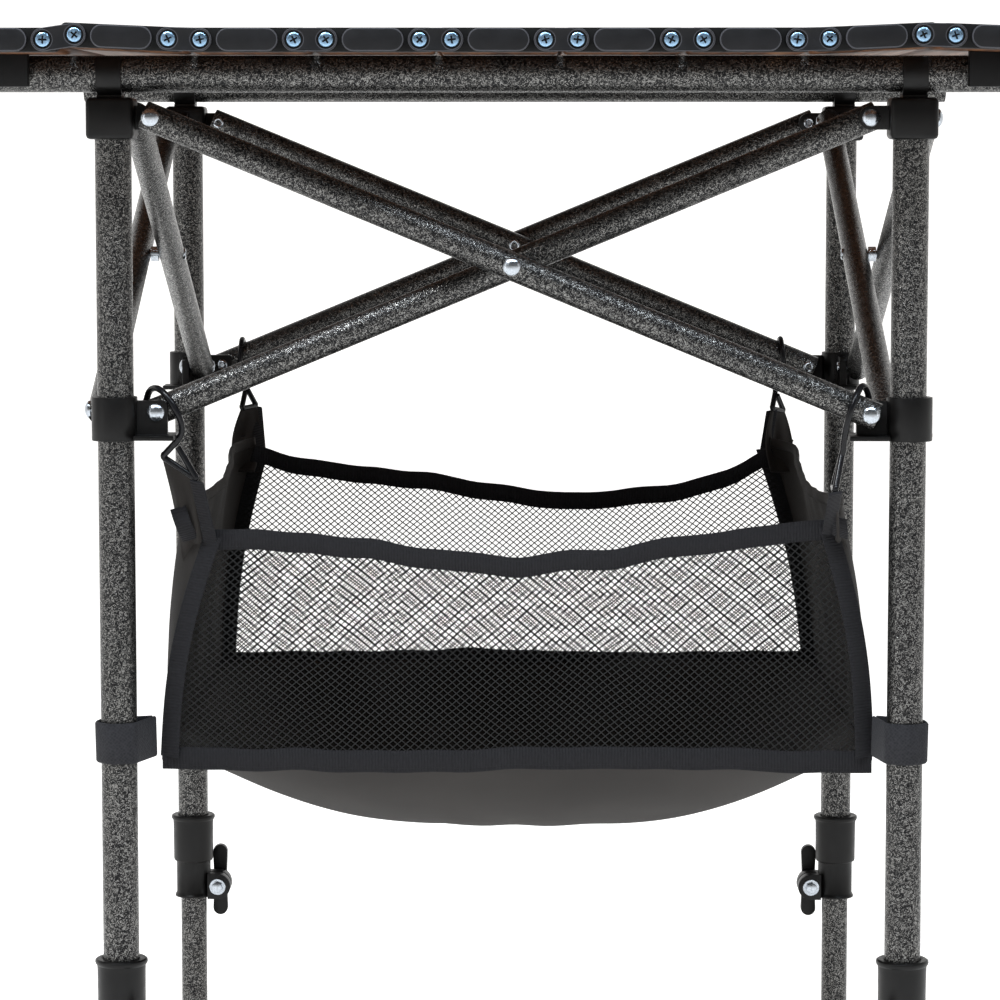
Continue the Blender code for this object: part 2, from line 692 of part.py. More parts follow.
def body_table(pins):
    """Each moving body: its parent body, a point on its joint's axis and its nodes."""
    arm_bodies = {
        "front_outer_arm": (None, pivot("front", "front_left", HIGH), "front", "outer"),
        "front_inner_arm": ("front_outer_arm", mid_arms("front"), "front", "inner"),
        "left_inner_arm": (None, pivot("left", "front_left", HIGH), "left", "inner"),
        "left_outer_arm": ("left_inner_arm", mid_arms("left"), "left", "outer"),
        "back_inner_arm": ("back_left_leg", pivot("back", "back_left", HIGH), "back", "inner"),
        "back_outer_arm": ("back_inner_arm", mid_arms("back"), "back", "outer"),
        "right_outer_arm": ("front_right_leg", pivot("right", "front_right", HIGH), "right", "outer"),
        "right_inner_arm": ("right_outer_arm", mid_arms("right"), "right", "inner"),
    }
    table = {}
    for name, (parent, at, side, layer) in arm_bodies.items():
        nodes = [f"arm_{side}_{layer}"]
        nodes += [f"centre_rivet_{side}"] if layer == "outer" else []
        table[name] = (parent, at, nodes)
    legs = {
        "front_right": ("front_inner_arm", "front"), "back_left": ("left_outer_arm", "left"),
        "back_right": ("back_outer_arm", "back"),
    }
    sliders = {
        "front_left": ("front_inner_arm", "front"), "front_right": ("front_outer_arm", "front"),
        "back_left": ("left_inner_arm", "left"), "back_right": ("back_inner_arm", "back"),
    }
    for corner, (parent, side) in legs.items():
        nodes = [f"upper_leg_{corner}", f"top_bracket_{corner}", f"collar_{corner}"]
        nodes += ["rail_back"] if corner == "back_left" else []
        table[f"{corner}_leg"] = (parent, pivot(side, corner, HIGH), nodes)
    for corner, (parent, side) in sliders.items():
        nodes = [f"slider_{corner}", f"strap_{corner}"] + (["basket"] if corner == "front_left" else [])
        table[f"{corner}_slider"] = (parent, pivot(side, corner, LOW), nodes)
    for corner in CORNERS:
        side, layer = hook_arm(corner)
        table[f"{corner}_hook"] = (f"{side}_{layer}_arm", hook_swing(corner), [f"s_hook_{corner}"])
        leg = f"{corner}_leg" if corner in legs else None
        table[f"{corner}_lower_leg"] = (leg, leg_axis(corner), [f"lower_leg_{corner}", f"foot_{corner}"])
        table[f"{corner}_knob"] = (leg, clamp_centre(corner), [f"clamp_knob_{corner}"])
    table["top_middle"] = (None, Vector((0, 0, SLAT_MID)), [f"slat_{MIDDLE}"])
    for k in range(MIDDLE + 1, SLATS + 1):
        parent = "top_middle" if k == MIDDLE + 1 else f"top_slat_{k - 1}"
        table[f"top_slat_{k}"] = (parent, pins[k - 1][1], [f"slat_{k}"])
    for k in range(MIDDLE - 1, 0, -1):
        parent = "top_middle" if k == MIDDLE - 1 else f"top_slat_{k + 1}"
        table[f"top_slat_{k}"] = (parent, pins[k + 1][0], [f"slat_{k}"])
    return table


def hang_on_empties(table):
    empties = {}
    for name, (_, at, _) in table.items():
        empty = bpy.data.objects.new(f"joint_{name}", None)
        empty.empty_display_size = 0.03
        empty.location = at
        PARTS.objects.link(empty)
        empties[name] = empty
    bpy.context.view_layer.update()
    for name, (parent, _, nodes) in table.items():
        if parent:
            empties[name].parent = empties[parent]
            empties[name].matrix_parent_inverse = empties[parent].matrix_world.inverted()
        for node in nodes:
            piece = bpy.data.objects[node]
            piece.parent = empties[name]
            piece.matrix_parent_inverse = empties[name].matrix_world.inverted()
    bpy.context.view_layer.update()


def main():
    for corner in CORNERS:
        for make in (upper_leg, lower_leg, foot, collar, clamp_knob, top_bracket, slider, hook, strap):
            make(corner)
    for side in SIDES:
        arm(side, "outer")
        arm(side, "inner")
        centre_rivet(side)
    rail(-1)
    rail(1)
    pins = slat_pins()
    for number in range(1, SLATS + 1):
        slat(number, pins)
    basket()
    hang_on_empties(body_table(pins))


main()
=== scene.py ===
import json
from math import acos, atan2, cos, hypot, pi, radians, sin, sqrt

import bmesh
import bpy
from bmesh import ops
from mathutils import Matrix, Vector, noise

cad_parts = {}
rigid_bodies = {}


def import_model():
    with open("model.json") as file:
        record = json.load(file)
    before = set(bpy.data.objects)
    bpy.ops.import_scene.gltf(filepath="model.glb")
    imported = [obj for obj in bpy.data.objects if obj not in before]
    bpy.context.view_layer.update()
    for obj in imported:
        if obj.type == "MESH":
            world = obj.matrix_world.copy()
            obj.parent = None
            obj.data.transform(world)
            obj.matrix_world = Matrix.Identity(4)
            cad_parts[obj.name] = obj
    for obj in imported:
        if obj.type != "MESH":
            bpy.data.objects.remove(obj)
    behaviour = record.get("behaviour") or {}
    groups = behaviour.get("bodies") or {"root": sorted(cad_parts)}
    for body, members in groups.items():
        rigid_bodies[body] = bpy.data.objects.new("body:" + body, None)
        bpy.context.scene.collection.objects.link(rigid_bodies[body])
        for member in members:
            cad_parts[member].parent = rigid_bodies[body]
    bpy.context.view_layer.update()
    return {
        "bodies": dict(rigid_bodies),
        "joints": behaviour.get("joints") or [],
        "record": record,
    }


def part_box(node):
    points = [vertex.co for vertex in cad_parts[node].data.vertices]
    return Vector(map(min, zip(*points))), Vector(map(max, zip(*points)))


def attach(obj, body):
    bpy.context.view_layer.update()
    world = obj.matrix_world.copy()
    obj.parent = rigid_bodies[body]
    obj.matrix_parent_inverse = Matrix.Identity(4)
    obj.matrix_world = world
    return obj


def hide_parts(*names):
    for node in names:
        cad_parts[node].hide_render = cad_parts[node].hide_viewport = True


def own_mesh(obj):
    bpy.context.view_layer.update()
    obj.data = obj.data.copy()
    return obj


# Look of the camp kitchen table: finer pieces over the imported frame, their finishes, a pale studio
# and the camera. Metres, in the frame's own axes: +X right, +Y back, +Z up.


def vec(x, y, z):
    return Vector((x, y, z))


def drop(*unwanted):
    for obj in unwanted:
        bpy.data.objects.remove(obj)


def link(obj):
    bpy.context.scene.collection.objects.link(obj)
    return obj


drop(*bpy.data.objects)
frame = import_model()

GAP = 0.0003                # between pieces that meet
JOINTS = {joint["name"]: joint for joint in frame["joints"]}
BODY_OF = {node: body for body, nodes in frame["record"]["behaviour"]["bodies"].items() for node in nodes}

CORNERS = {
    "front_left": (-1, -1),
    "front_right": (1, -1),
    "back_right": (1, 1),
    "back_left": (-1, 1),
}
# Each side runs from one corner to the next: its outer arm hangs from the first corner's bracket
SIDES = {
    "front": ("front_left", "front_right", vec(0, -1, 0)),
    "right": ("front_right", "back_right", vec(1, 0, 0)),
    "back": ("back_right", "back_left", vec(0, 1, 0)),
    "left": ("back_left", "front_left", vec(-1, 0, 0)),
}
HIGH, LOW = "high", "low"


def centre(node):
    low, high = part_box(node)
    return (low + high) / 2


LEG_AT = {corner: centre(f"upper_leg_{corner}") for corner in CORNERS}
FRAME_X = sum(at.x for at in LEG_AT.values()) / 4
HALF = LEG_AT["back_left"].y
PIVOT_Z = {HIGH: JOINTS["fold"]["pos_m"][2], LOW: JOINTS["front_left_slider_pivot"]["pos_m"][2]}
PIVOT_OUT = JOINTS["fold"]["pos_m"][0] - LEG_AT["front_left"].x


PLATE_FACE = 0.3149         # outer face of the plates on the slats' ends


# ---------------------------------------------------------------- finishes

class Nodes:
    """A material's node tree, built up a node at a time."""

    def __init__(self, name):
        self.material = bpy.data.materials.new(name)
        self.material.use_nodes = True
        self.tree = self.material.node_tree
        self.shader = self.tree.nodes["Principled BSDF"]

    def feed(self, socket, value):
        """Links a socket to another's output, or gives it a plain value."""
        if isinstance(value, bpy.types.NodeSocket):
            self.tree.links.new(value, socket)
        else:
            is_colour = isinstance(value, tuple) and len(socket.default_value) == 4
            socket.default_value = (*value, 1) if is_colour else value

    def set(self, **sockets):
        for name, value in sockets.items():
            self.feed(self.shader.inputs[name.replace("_", " ")], value)
        return self

    def add(self, kind, inputs=(), **settings):
        node = self.tree.nodes.new(kind)
        for name, value in settings.items():
            setattr(node, name, value)
        for name, value in dict(inputs).items():
            self.feed(node.inputs[name], value)
        return node

    def places(self, scale=(1, 1, 1), source="Object"):
        at = self.add("ShaderNodeTexCoord").outputs[source]
        return self.add("ShaderNodeMapping", {"Vector": at, "Scale": scale}).outputs["Vector"]

    def noise(self, at, scale, detail=2.0, rough=0.5, twist=0.0):
        return self.add("ShaderNodeTexNoise", {
            "Vector": at, "Scale": scale, "Detail": detail, "Roughness": rough, "Distortion": twist,
        }).outputs["Fac"]

    def ramp(self, factor, *stops, curve="LINEAR"):
        node = self.add("ShaderNodeValToRGB", {"Fac": factor})
        node.color_ramp.interpolation = curve
        while len(node.color_ramp.elements) < len(stops):
            node.color_ramp.elements.new(0.5)
        for element, (place, colour) in zip(node.color_ramp.elements, stops):
            element.position = place
            element.color = (*colour, 1) if isinstance(colour, tuple) else (colour, colour, colour, 1)
        return node.outputs["Color"]

    def maths(self, operation, first, second=0.0):
        node = self.add("ShaderNodeMath", operation=operation)
        for socket, value in zip(node.inputs, (first, second)):
            self.feed(socket, value)
        return node.outputs[0]

    def times(self, first, second):
        return self.maths("MULTIPLY", first, second)

    def part(self, vector, axis):
        return self.add("ShaderNodeSeparateXYZ", {"Vector": vector}).outputs[axis]

    def mix(self, factor, first, second):
        node = self.add("ShaderNodeMix", data_type="RGBA")
        for place, value in ((0, factor), (6, first), (7, second)):
            self.feed(node.inputs[place], value)
        return node.outputs[2]

    def bump(self, height, distance):
        node = self.add("ShaderNodeBump", {"Height": height, "Distance": distance, "Strength": 1.0})
        return node.outputs["Normal"]

    def finish(self, **sockets):
        self.set(**sockets)
        return self.material


def hammertone():
    """Powder coat in dark and silver flecks that stand up from each other."""
    made = Nodes("hammertone_coat").set(Metallic=0.75, Specular_IOR_Level=0.5)
    at = made.places()
    fleck = made.noise(at, 760, 1.5, 0.55, 1.4)
    broad = made.noise(at, 45, 2)
    tone = made.ramp(fleck, (0.43, (0.006, 0.006, 0.007)), (0.505, (0.034, 0.033, 0.032)),
                     (0.585, (0.22, 0.215, 0.205)))
    tone = made.mix(made.times(broad, 0.3), tone, (0.02, 0.02, 0.02))
    gloss = made.ramp(fleck, (0.40, 0.36), (0.62, 0.20))
    return made.finish(Base_Color=tone, Roughness=gloss, Normal=made.bump(fleck, 0.00040))


def moulded(name, colour, roughness, grain=0.00004, edge=None):
    """Satin moulded plastic: a fine spark grain, slightly paler where it is rubbed."""
    made = Nodes(name).set(Specular_IOR_Level=0.22)
    at = made.places()
    tone = made.ramp(made.noise(at, 60, 4), (0.45, colour), (0.75, tuple(1.7 * c for c in colour)))
    # edge adds painted light to the tone: on the slat ends, painted rim highlights and painted shade in the hollows
    if edge:
        tone = edge(made, at, tone)
    gloss = made.ramp(made.noise(at, 150, 3), (0.3, roughness - 0.05), (0.7, roughness + 0.08))
    return made.finish(Base_Color=tone, Roughness=gloss, Normal=made.bump(made.noise(at, 1800, 2), grain))


def painted_rim_highlights_and_hollow_shade(made, at, tone):
    """Slat ends: painted highlights on the plate rims, and painted shade in the hollows between the plates."""
    normal = made.add("ShaderNodeNewGeometry").outputs["True Normal"]
    normal = made.add("ShaderNodeVectorTransform", {"Vector": normal}, vector_type="NORMAL",
                      convert_from="WORLD", convert_to="OBJECT").outputs["Vector"]
    out = made.maths("ABSOLUTE", made.part(normal, "Y"))
    # Painted shade: the cap's end face, back in the hollows between the plates, is made near black
    hollow = made.maths("LESS_THAN", made.maths("ABSOLUTE", made.part(at, "Y")), PLATE_FACE - 0.0012)
    tone = made.mix(hollow, tone, (0.0012, 0.0012, 0.0014))
    # Painted highlight: the plates' eased rims, where the normal turns away from the end face, are made paler
    rim = made.times(made.maths("GREATER_THAN", out, 0.2), made.maths("LESS_THAN", out, 0.97))
    return made.mix(made.times(made.maths("SUBTRACT", 1.0, hollow), rim), tone, (0.055, 0.055, 0.062))


def plated(name, colour, roughness):
    """Zinc-plated steel with faint turning marks and hazy spots."""
    made = Nodes(name).set(Metallic=1.0)
    at = made.places()
    tone = made.mix(made.noise(at, 900, 3), colour, tuple(0.6 * c for c in colour))
    gloss = made.ramp(made.noise(at, 400, 3), (0.35, roughness - 0.07), (0.7, roughness + 0.12))
    return made.finish(Base_Color=tone, Roughness=gloss, Normal=made.bump(made.noise(at, 1500, 2), 0.00003))


def walnut():
    """Printed walnut film: long grain down each slat, with darker and paler streaks."""
    made = Nodes("walnut_film").set(Specular_IOR_Level=0.2)
    figure = made.noise(made.places((1, 0.045, 1)), 55, 6, 0.62, 0.9)
    pores = made.noise(made.places((1, 0.02, 1)), 900, 2)
    tone = made.ramp(figure, (0.30, (0.020, 0.008, 0.004)), (0.46, (0.085, 0.033, 0.013)),
                     (0.58, (0.15, 0.062, 0.025)), (0.74, (0.30, 0.15, 0.07)))
    tone = made.mix(made.ramp(pores, (0.58, 0.0), (0.72, 0.65)), tone, (0.018, 0.008, 0.004))
    gloss = made.ramp(figure, (0.3, 0.54), (0.7, 0.42))
    return made.finish(Base_Color=tone, Roughness=gloss, Normal=made.bump(pores, 0.00005))


def woven(name, dark, light, pitch, relief=0.00012):
    """Plain-woven cloth from its own flat measurements, with slubs and rubbed places."""
    made = Nodes(name).set(Roughness=0.9, Specular_IOR_Level=0.2, Sheen_Weight=0.03, Sheen_Roughness=0.5)
    flat = made.places((1 / pitch, 1 / pitch, 1), "UV")
    warp, weft = (made.maths("SINE", made.times(made.part(flat, axis), 2 * pi)) for axis in "XY")
    weave = made.maths("ADD", made.times(made.times(warp, weft), 0.5), 0.5)
    slub = made.noise(made.places((1, 0.15, 1), "UV"), 900, 2)
    rubbed = made.noise(made.places(), 14, 4)
    tone = made.mix(made.times(weave, 0.5), dark, light)
    tone = made.mix(made.ramp(rubbed, (0.4, 0.0), (0.75, 0.5)), tone, light)
    tone = made.mix(made.times(slub, 0.35), tone, dark)
    return made.finish(Base_Color=tone, Normal=made.bump(weave, relief))


RIB_PITCH, STITCH_PITCH, STITCH_INSET = 0.0019, 0.0032, 0.0018
STITCH_HALF, STITCH_SHARE = 0.00035, 0.68


def grosgrain(name, dark, light, width, thread):
    """Ribbed binding tape: ribs across it and a row of stitches along each edge."""
    made = Nodes(name).set(Roughness=0.85, Specular_IOR_Level=0.25, Sheen_Weight=0.04, Sheen_Roughness=0.4)
    flat = made.places(source="UV")
    length, across = made.part(flat, "X"), made.part(flat, "Y")
    wobble = made.times(made.noise(made.places(), 350, 2), 0.0009)
    rib = made.maths("SINE", made.times(made.maths("ADD", length, wobble), 2 * pi / RIB_PITCH))
    rib = made.maths("ADD", made.times(rib, 0.5), 0.5)
    edge = made.maths("SUBTRACT", width / 2 - STITCH_INSET, made.maths("ABSOLUTE", across))
    on_row = made.maths("LESS_THAN", made.maths("ABSOLUTE", edge), STITCH_HALF)
    dash = made.maths("LESS_THAN", made.maths("FRACT", made.maths("DIVIDE", length, STITCH_PITCH)), STITCH_SHARE)
    stitch = made.times(on_row, dash)
    tone = made.mix(made.noise(made.places(), 500, 3), dark, light)
    tone = made.mix(made.times(rib, 0.45), tone, light)
    relief = made.maths("ADD", rib, made.times(stitch, -1.5))
    return made.finish(Base_Color=made.mix(stitch, tone, thread), Normal=made.bump(relief, 0.00022))


def loop_pile():
    """Hook-and-loop tape: a close diamond twill with fuzzy pile."""
    made = Nodes("hook_and_loop_tape").set(Roughness=0.9, Specular_IOR_Level=0.2,
                                             Sheen_Weight=0.06, Sheen_Roughness=0.4)
    turn = {"Vector": made.places(source="UV"), "Rotation": (0, 0, radians(40))}
    turned = made.add("ShaderNodeMapping", turn).outputs["Vector"]
    twill = made.add("ShaderNodeTexVoronoi", {"Vector": turned, "Scale": 620, "Randomness": 0.45}).outputs["Distance"]
    fuzz = made.noise(made.places(), 1500, 3)
    tone = made.mix(twill, (0.013, 0.013, 0.015), (0.040, 0.040, 0.045))
    tone = made.mix(made.times(fuzz, 0.4), tone, (0.012, 0.012, 0.014))
    return made.finish(Base_Color=tone, Normal=made.bump(made.maths("ADD", twill, fuzz), 0.0002))


# Each finish with the name of its slot
TAPE_WIDTH = 0.0127
HAMMERTONE = hammertone(), "hammertone"
BLACK_PLASTIC = moulded("satin_black_plastic", (0.0032, 0.0029, 0.0028), 0.38), "black_plastic"
# The slat ends' plastic carries painted highlights on the plate rims and painted shade in the hollows between the
# plates
CAP_PLASTIC = moulded("slat_end_plastic", (0.0062, 0.0062, 0.0072), 0.5, edge=painted_rim_highlights_and_hollow_shade), "black_plastic"
RUBBER = moulded("foot_rubber_moulded", (0.012, 0.012, 0.012), 0.75, 0.00008), "foot_rubber"
STEEL = plated("domed_rivet_steel", (0.56, 0.60, 0.65), 0.20), "bright_steel"
ZINC = plated("blue_zinc_screw", (0.36, 0.56, 0.78), 0.28), "bright_steel"
WALNUT = walnut(), "slat_finish"
CLOTH = woven("charcoal_oxford", (0.018, 0.0160, 0.0148), (0.042, 0.0375, 0.0345), 0.0011), "charcoal_cloth"
NET = woven("black_knitted_net", (0.010, 0.010, 0.010), (0.022, 0.022, 0.022), 0.0008, 0.00005), "charcoal_cloth"
TAPE = grosgrain("black_binding_tape", (0.0050, 0.0048, 0.0056), (0.016, 0.0155, 0.0180), TAPE_WIDTH,
                 (0.010, 0.010, 0.012)), "webbing"
PILE = loop_pile(), "webbing"
WIRE = moulded("coated_hook_wire", (0.006, 0.006, 0.007), 0.20), "coated_wire"


# ---------------------------------------------------------------- shape helpers

def put(obj, name, finish, body, *nodes, sharp=None):
    """Names a piece, gives it its finish and hangs it on its body."""
    material, slot = finish
    obj.name = name
    if obj.name not in bpy.context.scene.objects:
        link(obj)
    obj.data.materials.clear()
    obj.data.materials.append(material)
    if sharp is not None:
        obj.data.shade_smooth()
        obj.data.set_sharp_from_angle(angle=radians(sharp))
    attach(obj, body)
    if nodes:
        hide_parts(*nodes)
    return obj


def from_bmesh(shape, outwards=True, smooth=False):
    mesh = bpy.data.meshes.new("piece")
    if outwards:
        ops.recalc_face_normals(shape, faces=shape.faces)
    shape.to_mesh(mesh)
    shape.free()
    if smooth:
        mesh.shade_smooth()
    return bpy.data.objects.new("piece", mesh)


def joined(*objects):
    """One mesh from several."""
    shape = bmesh.new()
    for obj in objects:
        shape.from_mesh(obj.data)
    drop(*objects)
    return from_bmesh(shape, outwards=False)


def turned(profile, sides=48, closed=False, at=Matrix.Identity(4)):
    """Turns a (radius, height) profile about Z and sets it in place by a matrix."""
    shape = bmesh.new()
    rings = []
    for radius, height in profile:
        count = sides if radius > 1e-6 else 1
        turns = [2 * pi * i / sides for i in range(count)]
        rings.append([shape.verts.new((radius * cos(a), radius * sin(a), height)) for a in turns])
    for low, high in zip(rings, rings[1:] + rings[:1] if closed else rings[1:]):
        for i in range(sides):
            corners = [low[i % len(low)], low[(i + 1) % len(low)], high[(i + 1) % len(high)], high[i % len(high)]]
            corners = [v for k, v in enumerate(corners) if v not in corners[:k]]
            if len(corners) > 2:
                shape.faces.new(corners)
    obj = from_bmesh(shape)
    obj.data.transform(at)
    return obj


def tube_profile(outer, bore, low, high, ease=0.0004):
    """Profile of a cut tube whose ends are deburred."""
    return [(outer, low + ease), (outer, high - ease), (outer - ease, high), (bore + ease / 2, high),
            (bore, high - ease / 2), (bore, low + ease / 2), (bore + ease / 2, low), (outer - ease, low)]


def facing(at, direction):
    """A matrix whose Z runs along a direction."""
    return Matrix.Translation(at) @ Vector(direction).to_track_quat("Z", "Y").to_matrix().to_4x4()


def axes(origin, x, y):
    x, y = Vector(x).normalized(), Vector(y).normalized()
    return Matrix.Translation(origin) @ Matrix((x, y, x.cross(y))).transposed().to_4x4()


def arc(middle, radius, start, stop, steps):
    angles = [radians(start + (stop - start) * i / steps) for i in range(steps + 1)]
    return [(middle[0] + radius * cos(a), middle[1] + radius * sin(a)) for a in angles]


def stadium(half_length, radius, steps=14):
    return arc((half_length, 0), radius, -90, 90, steps) + arc((-half_length, 0), radius, 90, 270, steps)


def rounded_section(half_wide, half_high, radius, steps=5):
    x, y = half_wide - radius, half_high - radius
    corners = ((x, y), (-x, y), (-x, -y), (x, -y))
    return [p for i, middle in enumerate(corners) for p in arc(middle, radius, 90 * i, 90 * i + 90, steps)]


def plate(outline, thickness, place, ease=0.0):
    """A flat plate from a 2D outline, centred on its own XY plane, with eased edges."""
    shape = bmesh.new()
    face = shape.faces.new([shape.verts.new((x, y, -thickness / 2)) for x, y in outline])
    raised = ops.extrude_face_region(shape, geom=[face])["geom"]
    raised = [v for v in raised if isinstance(v, bmesh.types.BMVert)]
    ops.translate(shape, vec=(0, 0, thickness), verts=raised)
    ops.recalc_face_normals(shape, faces=shape.faces)
    if ease:
        rims = [e for e in shape.edges if abs(e.verts[0].co.z - e.verts[1].co.z) < 1e-9]
        ops.bevel(shape, geom=rims, offset=ease, segments=2, profile=0.5, affect="EDGES")
    obj = from_bmesh(shape)
    obj.data.transform(place)
    return obj


def block(low, high):
    low, high = Vector(low), Vector(high)
    low, high = Vector(map(min, low, high)), Vector(map(max, low, high))
    shape = bmesh.new()
    ops.create_cube(shape, size=1)
    shape.transform(Matrix.Translation((low + high) / 2) @ Matrix.Diagonal((*(high - low), 1)))
    return from_bmesh(shape)


def rod(radius, start, end, sides=32):
    start, end = Vector(start), Vector(end)
    length = (end - start).length
    return turned([(0, 0), (radius, 0), (radius, length), (0, length)], sides, at=facing(start, end - start))


def solid(base, joins=(), cuts=(), ease=0.0005, segments=2):
    """Joins and cuts solids, then rounds the edges that are left."""
    link(base)
    for operation, tools in (("UNION", joins), ("DIFFERENCE", cuts)):
        for tool in tools:
            change = base.modifiers.new("change", "BOOLEAN")
            change.operation, change.object, change.solver = operation, link(tool), "EXACT"
    shape = bmesh.new()
    shape.from_mesh(evaluated(base))
    ops.remove_doubles(shape, verts=shape.verts, dist=2e-5)
    ops.dissolve_limit(shape, angle_limit=radians(0.6), verts=shape.verts, edges=shape.edges)
    drop(base, *joins, *cuts)
    obj = link(from_bmesh(shape, outwards=False))
    bevel = obj.modifiers.new("ease", "BEVEL")
    bevel.width, bevel.segments, bevel.angle_limit = ease, segments, radians(28)
    bevel.use_clamp_overlap = True
    obj.data = evaluated(obj)
    obj.modifiers.clear()
    return obj


def evaluated(obj):
    graph = bpy.context.evaluated_depsgraph_get()
    graph.update()
    return bpy.data.meshes.new_from_object(obj.evaluated_get(graph))


def for_corner(master, corner):
    """A copy of a front-left piece, built about its leg's axis, mirrored to a corner."""
    x, y = CORNERS[corner]
    mesh = master.data.copy()
    mesh.transform(Matrix.Diagonal((-x, -y, 1, 1)))
    if x * y < 0:
        mesh.flip_normals()
    at = LEG_AT[corner]
    mesh.transform(Matrix.Translation((at.x, at.y, 0)))
    return bpy.data.objects.new(master.name, mesh)


# ---------------------------------------------------------------- places on the frame

def leg_axis(corner, height=0.0):
    return vec(LEG_AT[corner].x, LEG_AT[corner].y, height)


def pivot(side, corner, level):
    first, last, _ = SIDES[side]
    here, there = leg_axis(corner, PIVOT_Z[level]), leg_axis(last if corner == first else first, PIVOT_Z[level])
    return here + (there - here).normalized() * PIVOT_OUT


ARM_R, ARM_BORE, ARM_OVERHANG = 0.0085, 0.0073, 0.005
EAR_THICK = 0.005
ARM_OFFSET = EAR_THICK / 2 + GAP + ARM_R


def arm_ends(side, layer):
    """Upper and lower pivot of an arm, moved to the arm's own layer."""
    first, last, normal = SIDES[side]
    if layer == "inner":
        first, last = last, first
    shift = normal * (ARM_OFFSET if layer == "outer" else -ARM_OFFSET)
    return pivot(side, first, HIGH) + shift, pivot(side, last, LOW) + shift


# ---------------------------------------------------------------- tubes

def tube_along(node, outer, bore, direction):
    """A round tube with real wall ends, as long as its CAD node along an axis."""
    low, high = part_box(node)
    length, middle = (high - low).dot(Vector(direction)), (low + high) / 2
    obj = turned(tube_profile(outer, bore, -length / 2, length / 2), at=facing(middle, direction))
    put(obj, f"{node}_tube", HAMMERTONE, BODY_OF[node], node, sharp=40)


UPPER_R, UPPER_BORE = 0.0110, 0.00985
LOWER_R, LOWER_BORE = 0.0095, 0.0083
RAIL_R, RAIL_BORE = 0.0110, 0.0098
RUNNING_FIT = 0.00035       # between a tube and the fitting it passes through
for corner in CORNERS:
    tube_along(f"upper_leg_{corner}", UPPER_R, UPPER_BORE, (0, 0, 1))
    tube_along(f"lower_leg_{corner}", LOWER_R, LOWER_BORE, (0, 0, 1))
for node in ("rail_front", "rail_back"):
    tube_along(node, RAIL_R, RAIL_BORE, (1, 0, 0))

HEAD_R, HEAD_RISE = 0.0054, 0.0024
DOME = [(0, HEAD_RISE), (0.0012, HEAD_RISE - 0.00006), (0.0024, HEAD_RISE - 0.0003), (0.0035, HEAD_RISE - 0.0008),
        (0.0044, HEAD_RISE - 0.00135), (0.0051, 0.0005), (HEAD_R, 0.0001), (HEAD_R, -0.0014), (0.0, -0.0014)]
ROLLED = [(0.0016, -0.002), (0.0017, 0.0006), (0.0021, 0.0011), (0.0028, 0.0013), (0.0035, 0.0010), (0.0039, 0.0004),
          (0.0040, 0.0), (0.0024, 0.0), (0.0024, -0.002)]


def dome(at, direction):
    return turned(DOME, 32, at=facing(at, direction))


def rolled_end(at, direction):
    """The hollow end of a rivet, rolled over, with its dark bore."""
    return turned(ROLLED, 32, closed=True, at=facing(at, direction))


CREST = ARM_R - 0.0004      # where a head sits on an arm
SHANK_R, SPACER_R = 0.0024, 0.0050
EAR_FACE = ARM_OFFSET + EAR_THICK / 2 + GAP   # the ear's far side, from the arm's own middle


def arm(side, layer):
    upper, lower = arm_ends(side, layer)
    body, normal = f"{side}_{layer}_arm", SIDES[side][2]
    half = (upper - lower).length / 2 + ARM_OVERHANG
    turned_tube = turned(tube_profile(ARM_R, ARM_BORE, -half, half), at=facing((upper + lower) / 2, upper - lower))
    put(turned_tube, f"arm_{side}_{layer}_tube", HAMMERTONE, body, f"arm_{side}_{layer}", sharp=40)
    # Domed heads look outwards and rolled ends inwards, whichever side of the ear the arm is on
    outward, inward = (CREST, -EAR_FACE) if layer == "outer" else (EAR_FACE, -CREST)
    rivets = []
    for at in (upper, lower):
        rivets += [dome(at + normal * outward, normal), rolled_end(at + normal * inward, -normal)]
        rivets.append(rod(SHANK_R, at + normal * outward, at + normal * inward, 16))
    put(joined(*rivets), f"arm_{side}_{layer}_rivets", STEEL, body, sharp=35)


def centre_rivet(side):
    normal = SIDES[side][2]
    middle = sum((end for layer in ("outer", "inner") for end in arm_ends(side, layer)), Vector()) / 4
    face, spacer = ARM_OFFSET + CREST, ARM_OFFSET - ARM_R - GAP
    parts = [
        dome(middle + normal * face, normal), rolled_end(middle - normal * face, -normal),
        rod(SHANK_R, middle + normal * face, middle - normal * face, 16),
        rod(SPACER_R, middle + normal * spacer, middle - normal * spacer, 24),
    ]
    node = f"centre_rivet_{side}"
    put(joined(*parts), f"{node}_domed", STEEL, f"{side}_outer_arm", node, sharp=35)


for side in SIDES:
    for layer in ("outer", "inner"):
        arm(side, layer)
    centre_rivet(side)


# ---------------------------------------------------------------- moulded fittings, built for the front left

def ears(outline, height):
    """The two pivot ears of a fitting: one towards the next leg and one towards the back."""
    at_x, at_y = (PIVOT_OUT, 0, height), (0, PIVOT_OUT, height)
    return [plate(outline, EAR_THICK, axes(at_x, (1, 0, 0), (0, 0, 1))),
            plate(outline, EAR_THICK, axes(at_y, (0, 1, 0), (0, 0, 1)))]


EAR_R = 0.0072


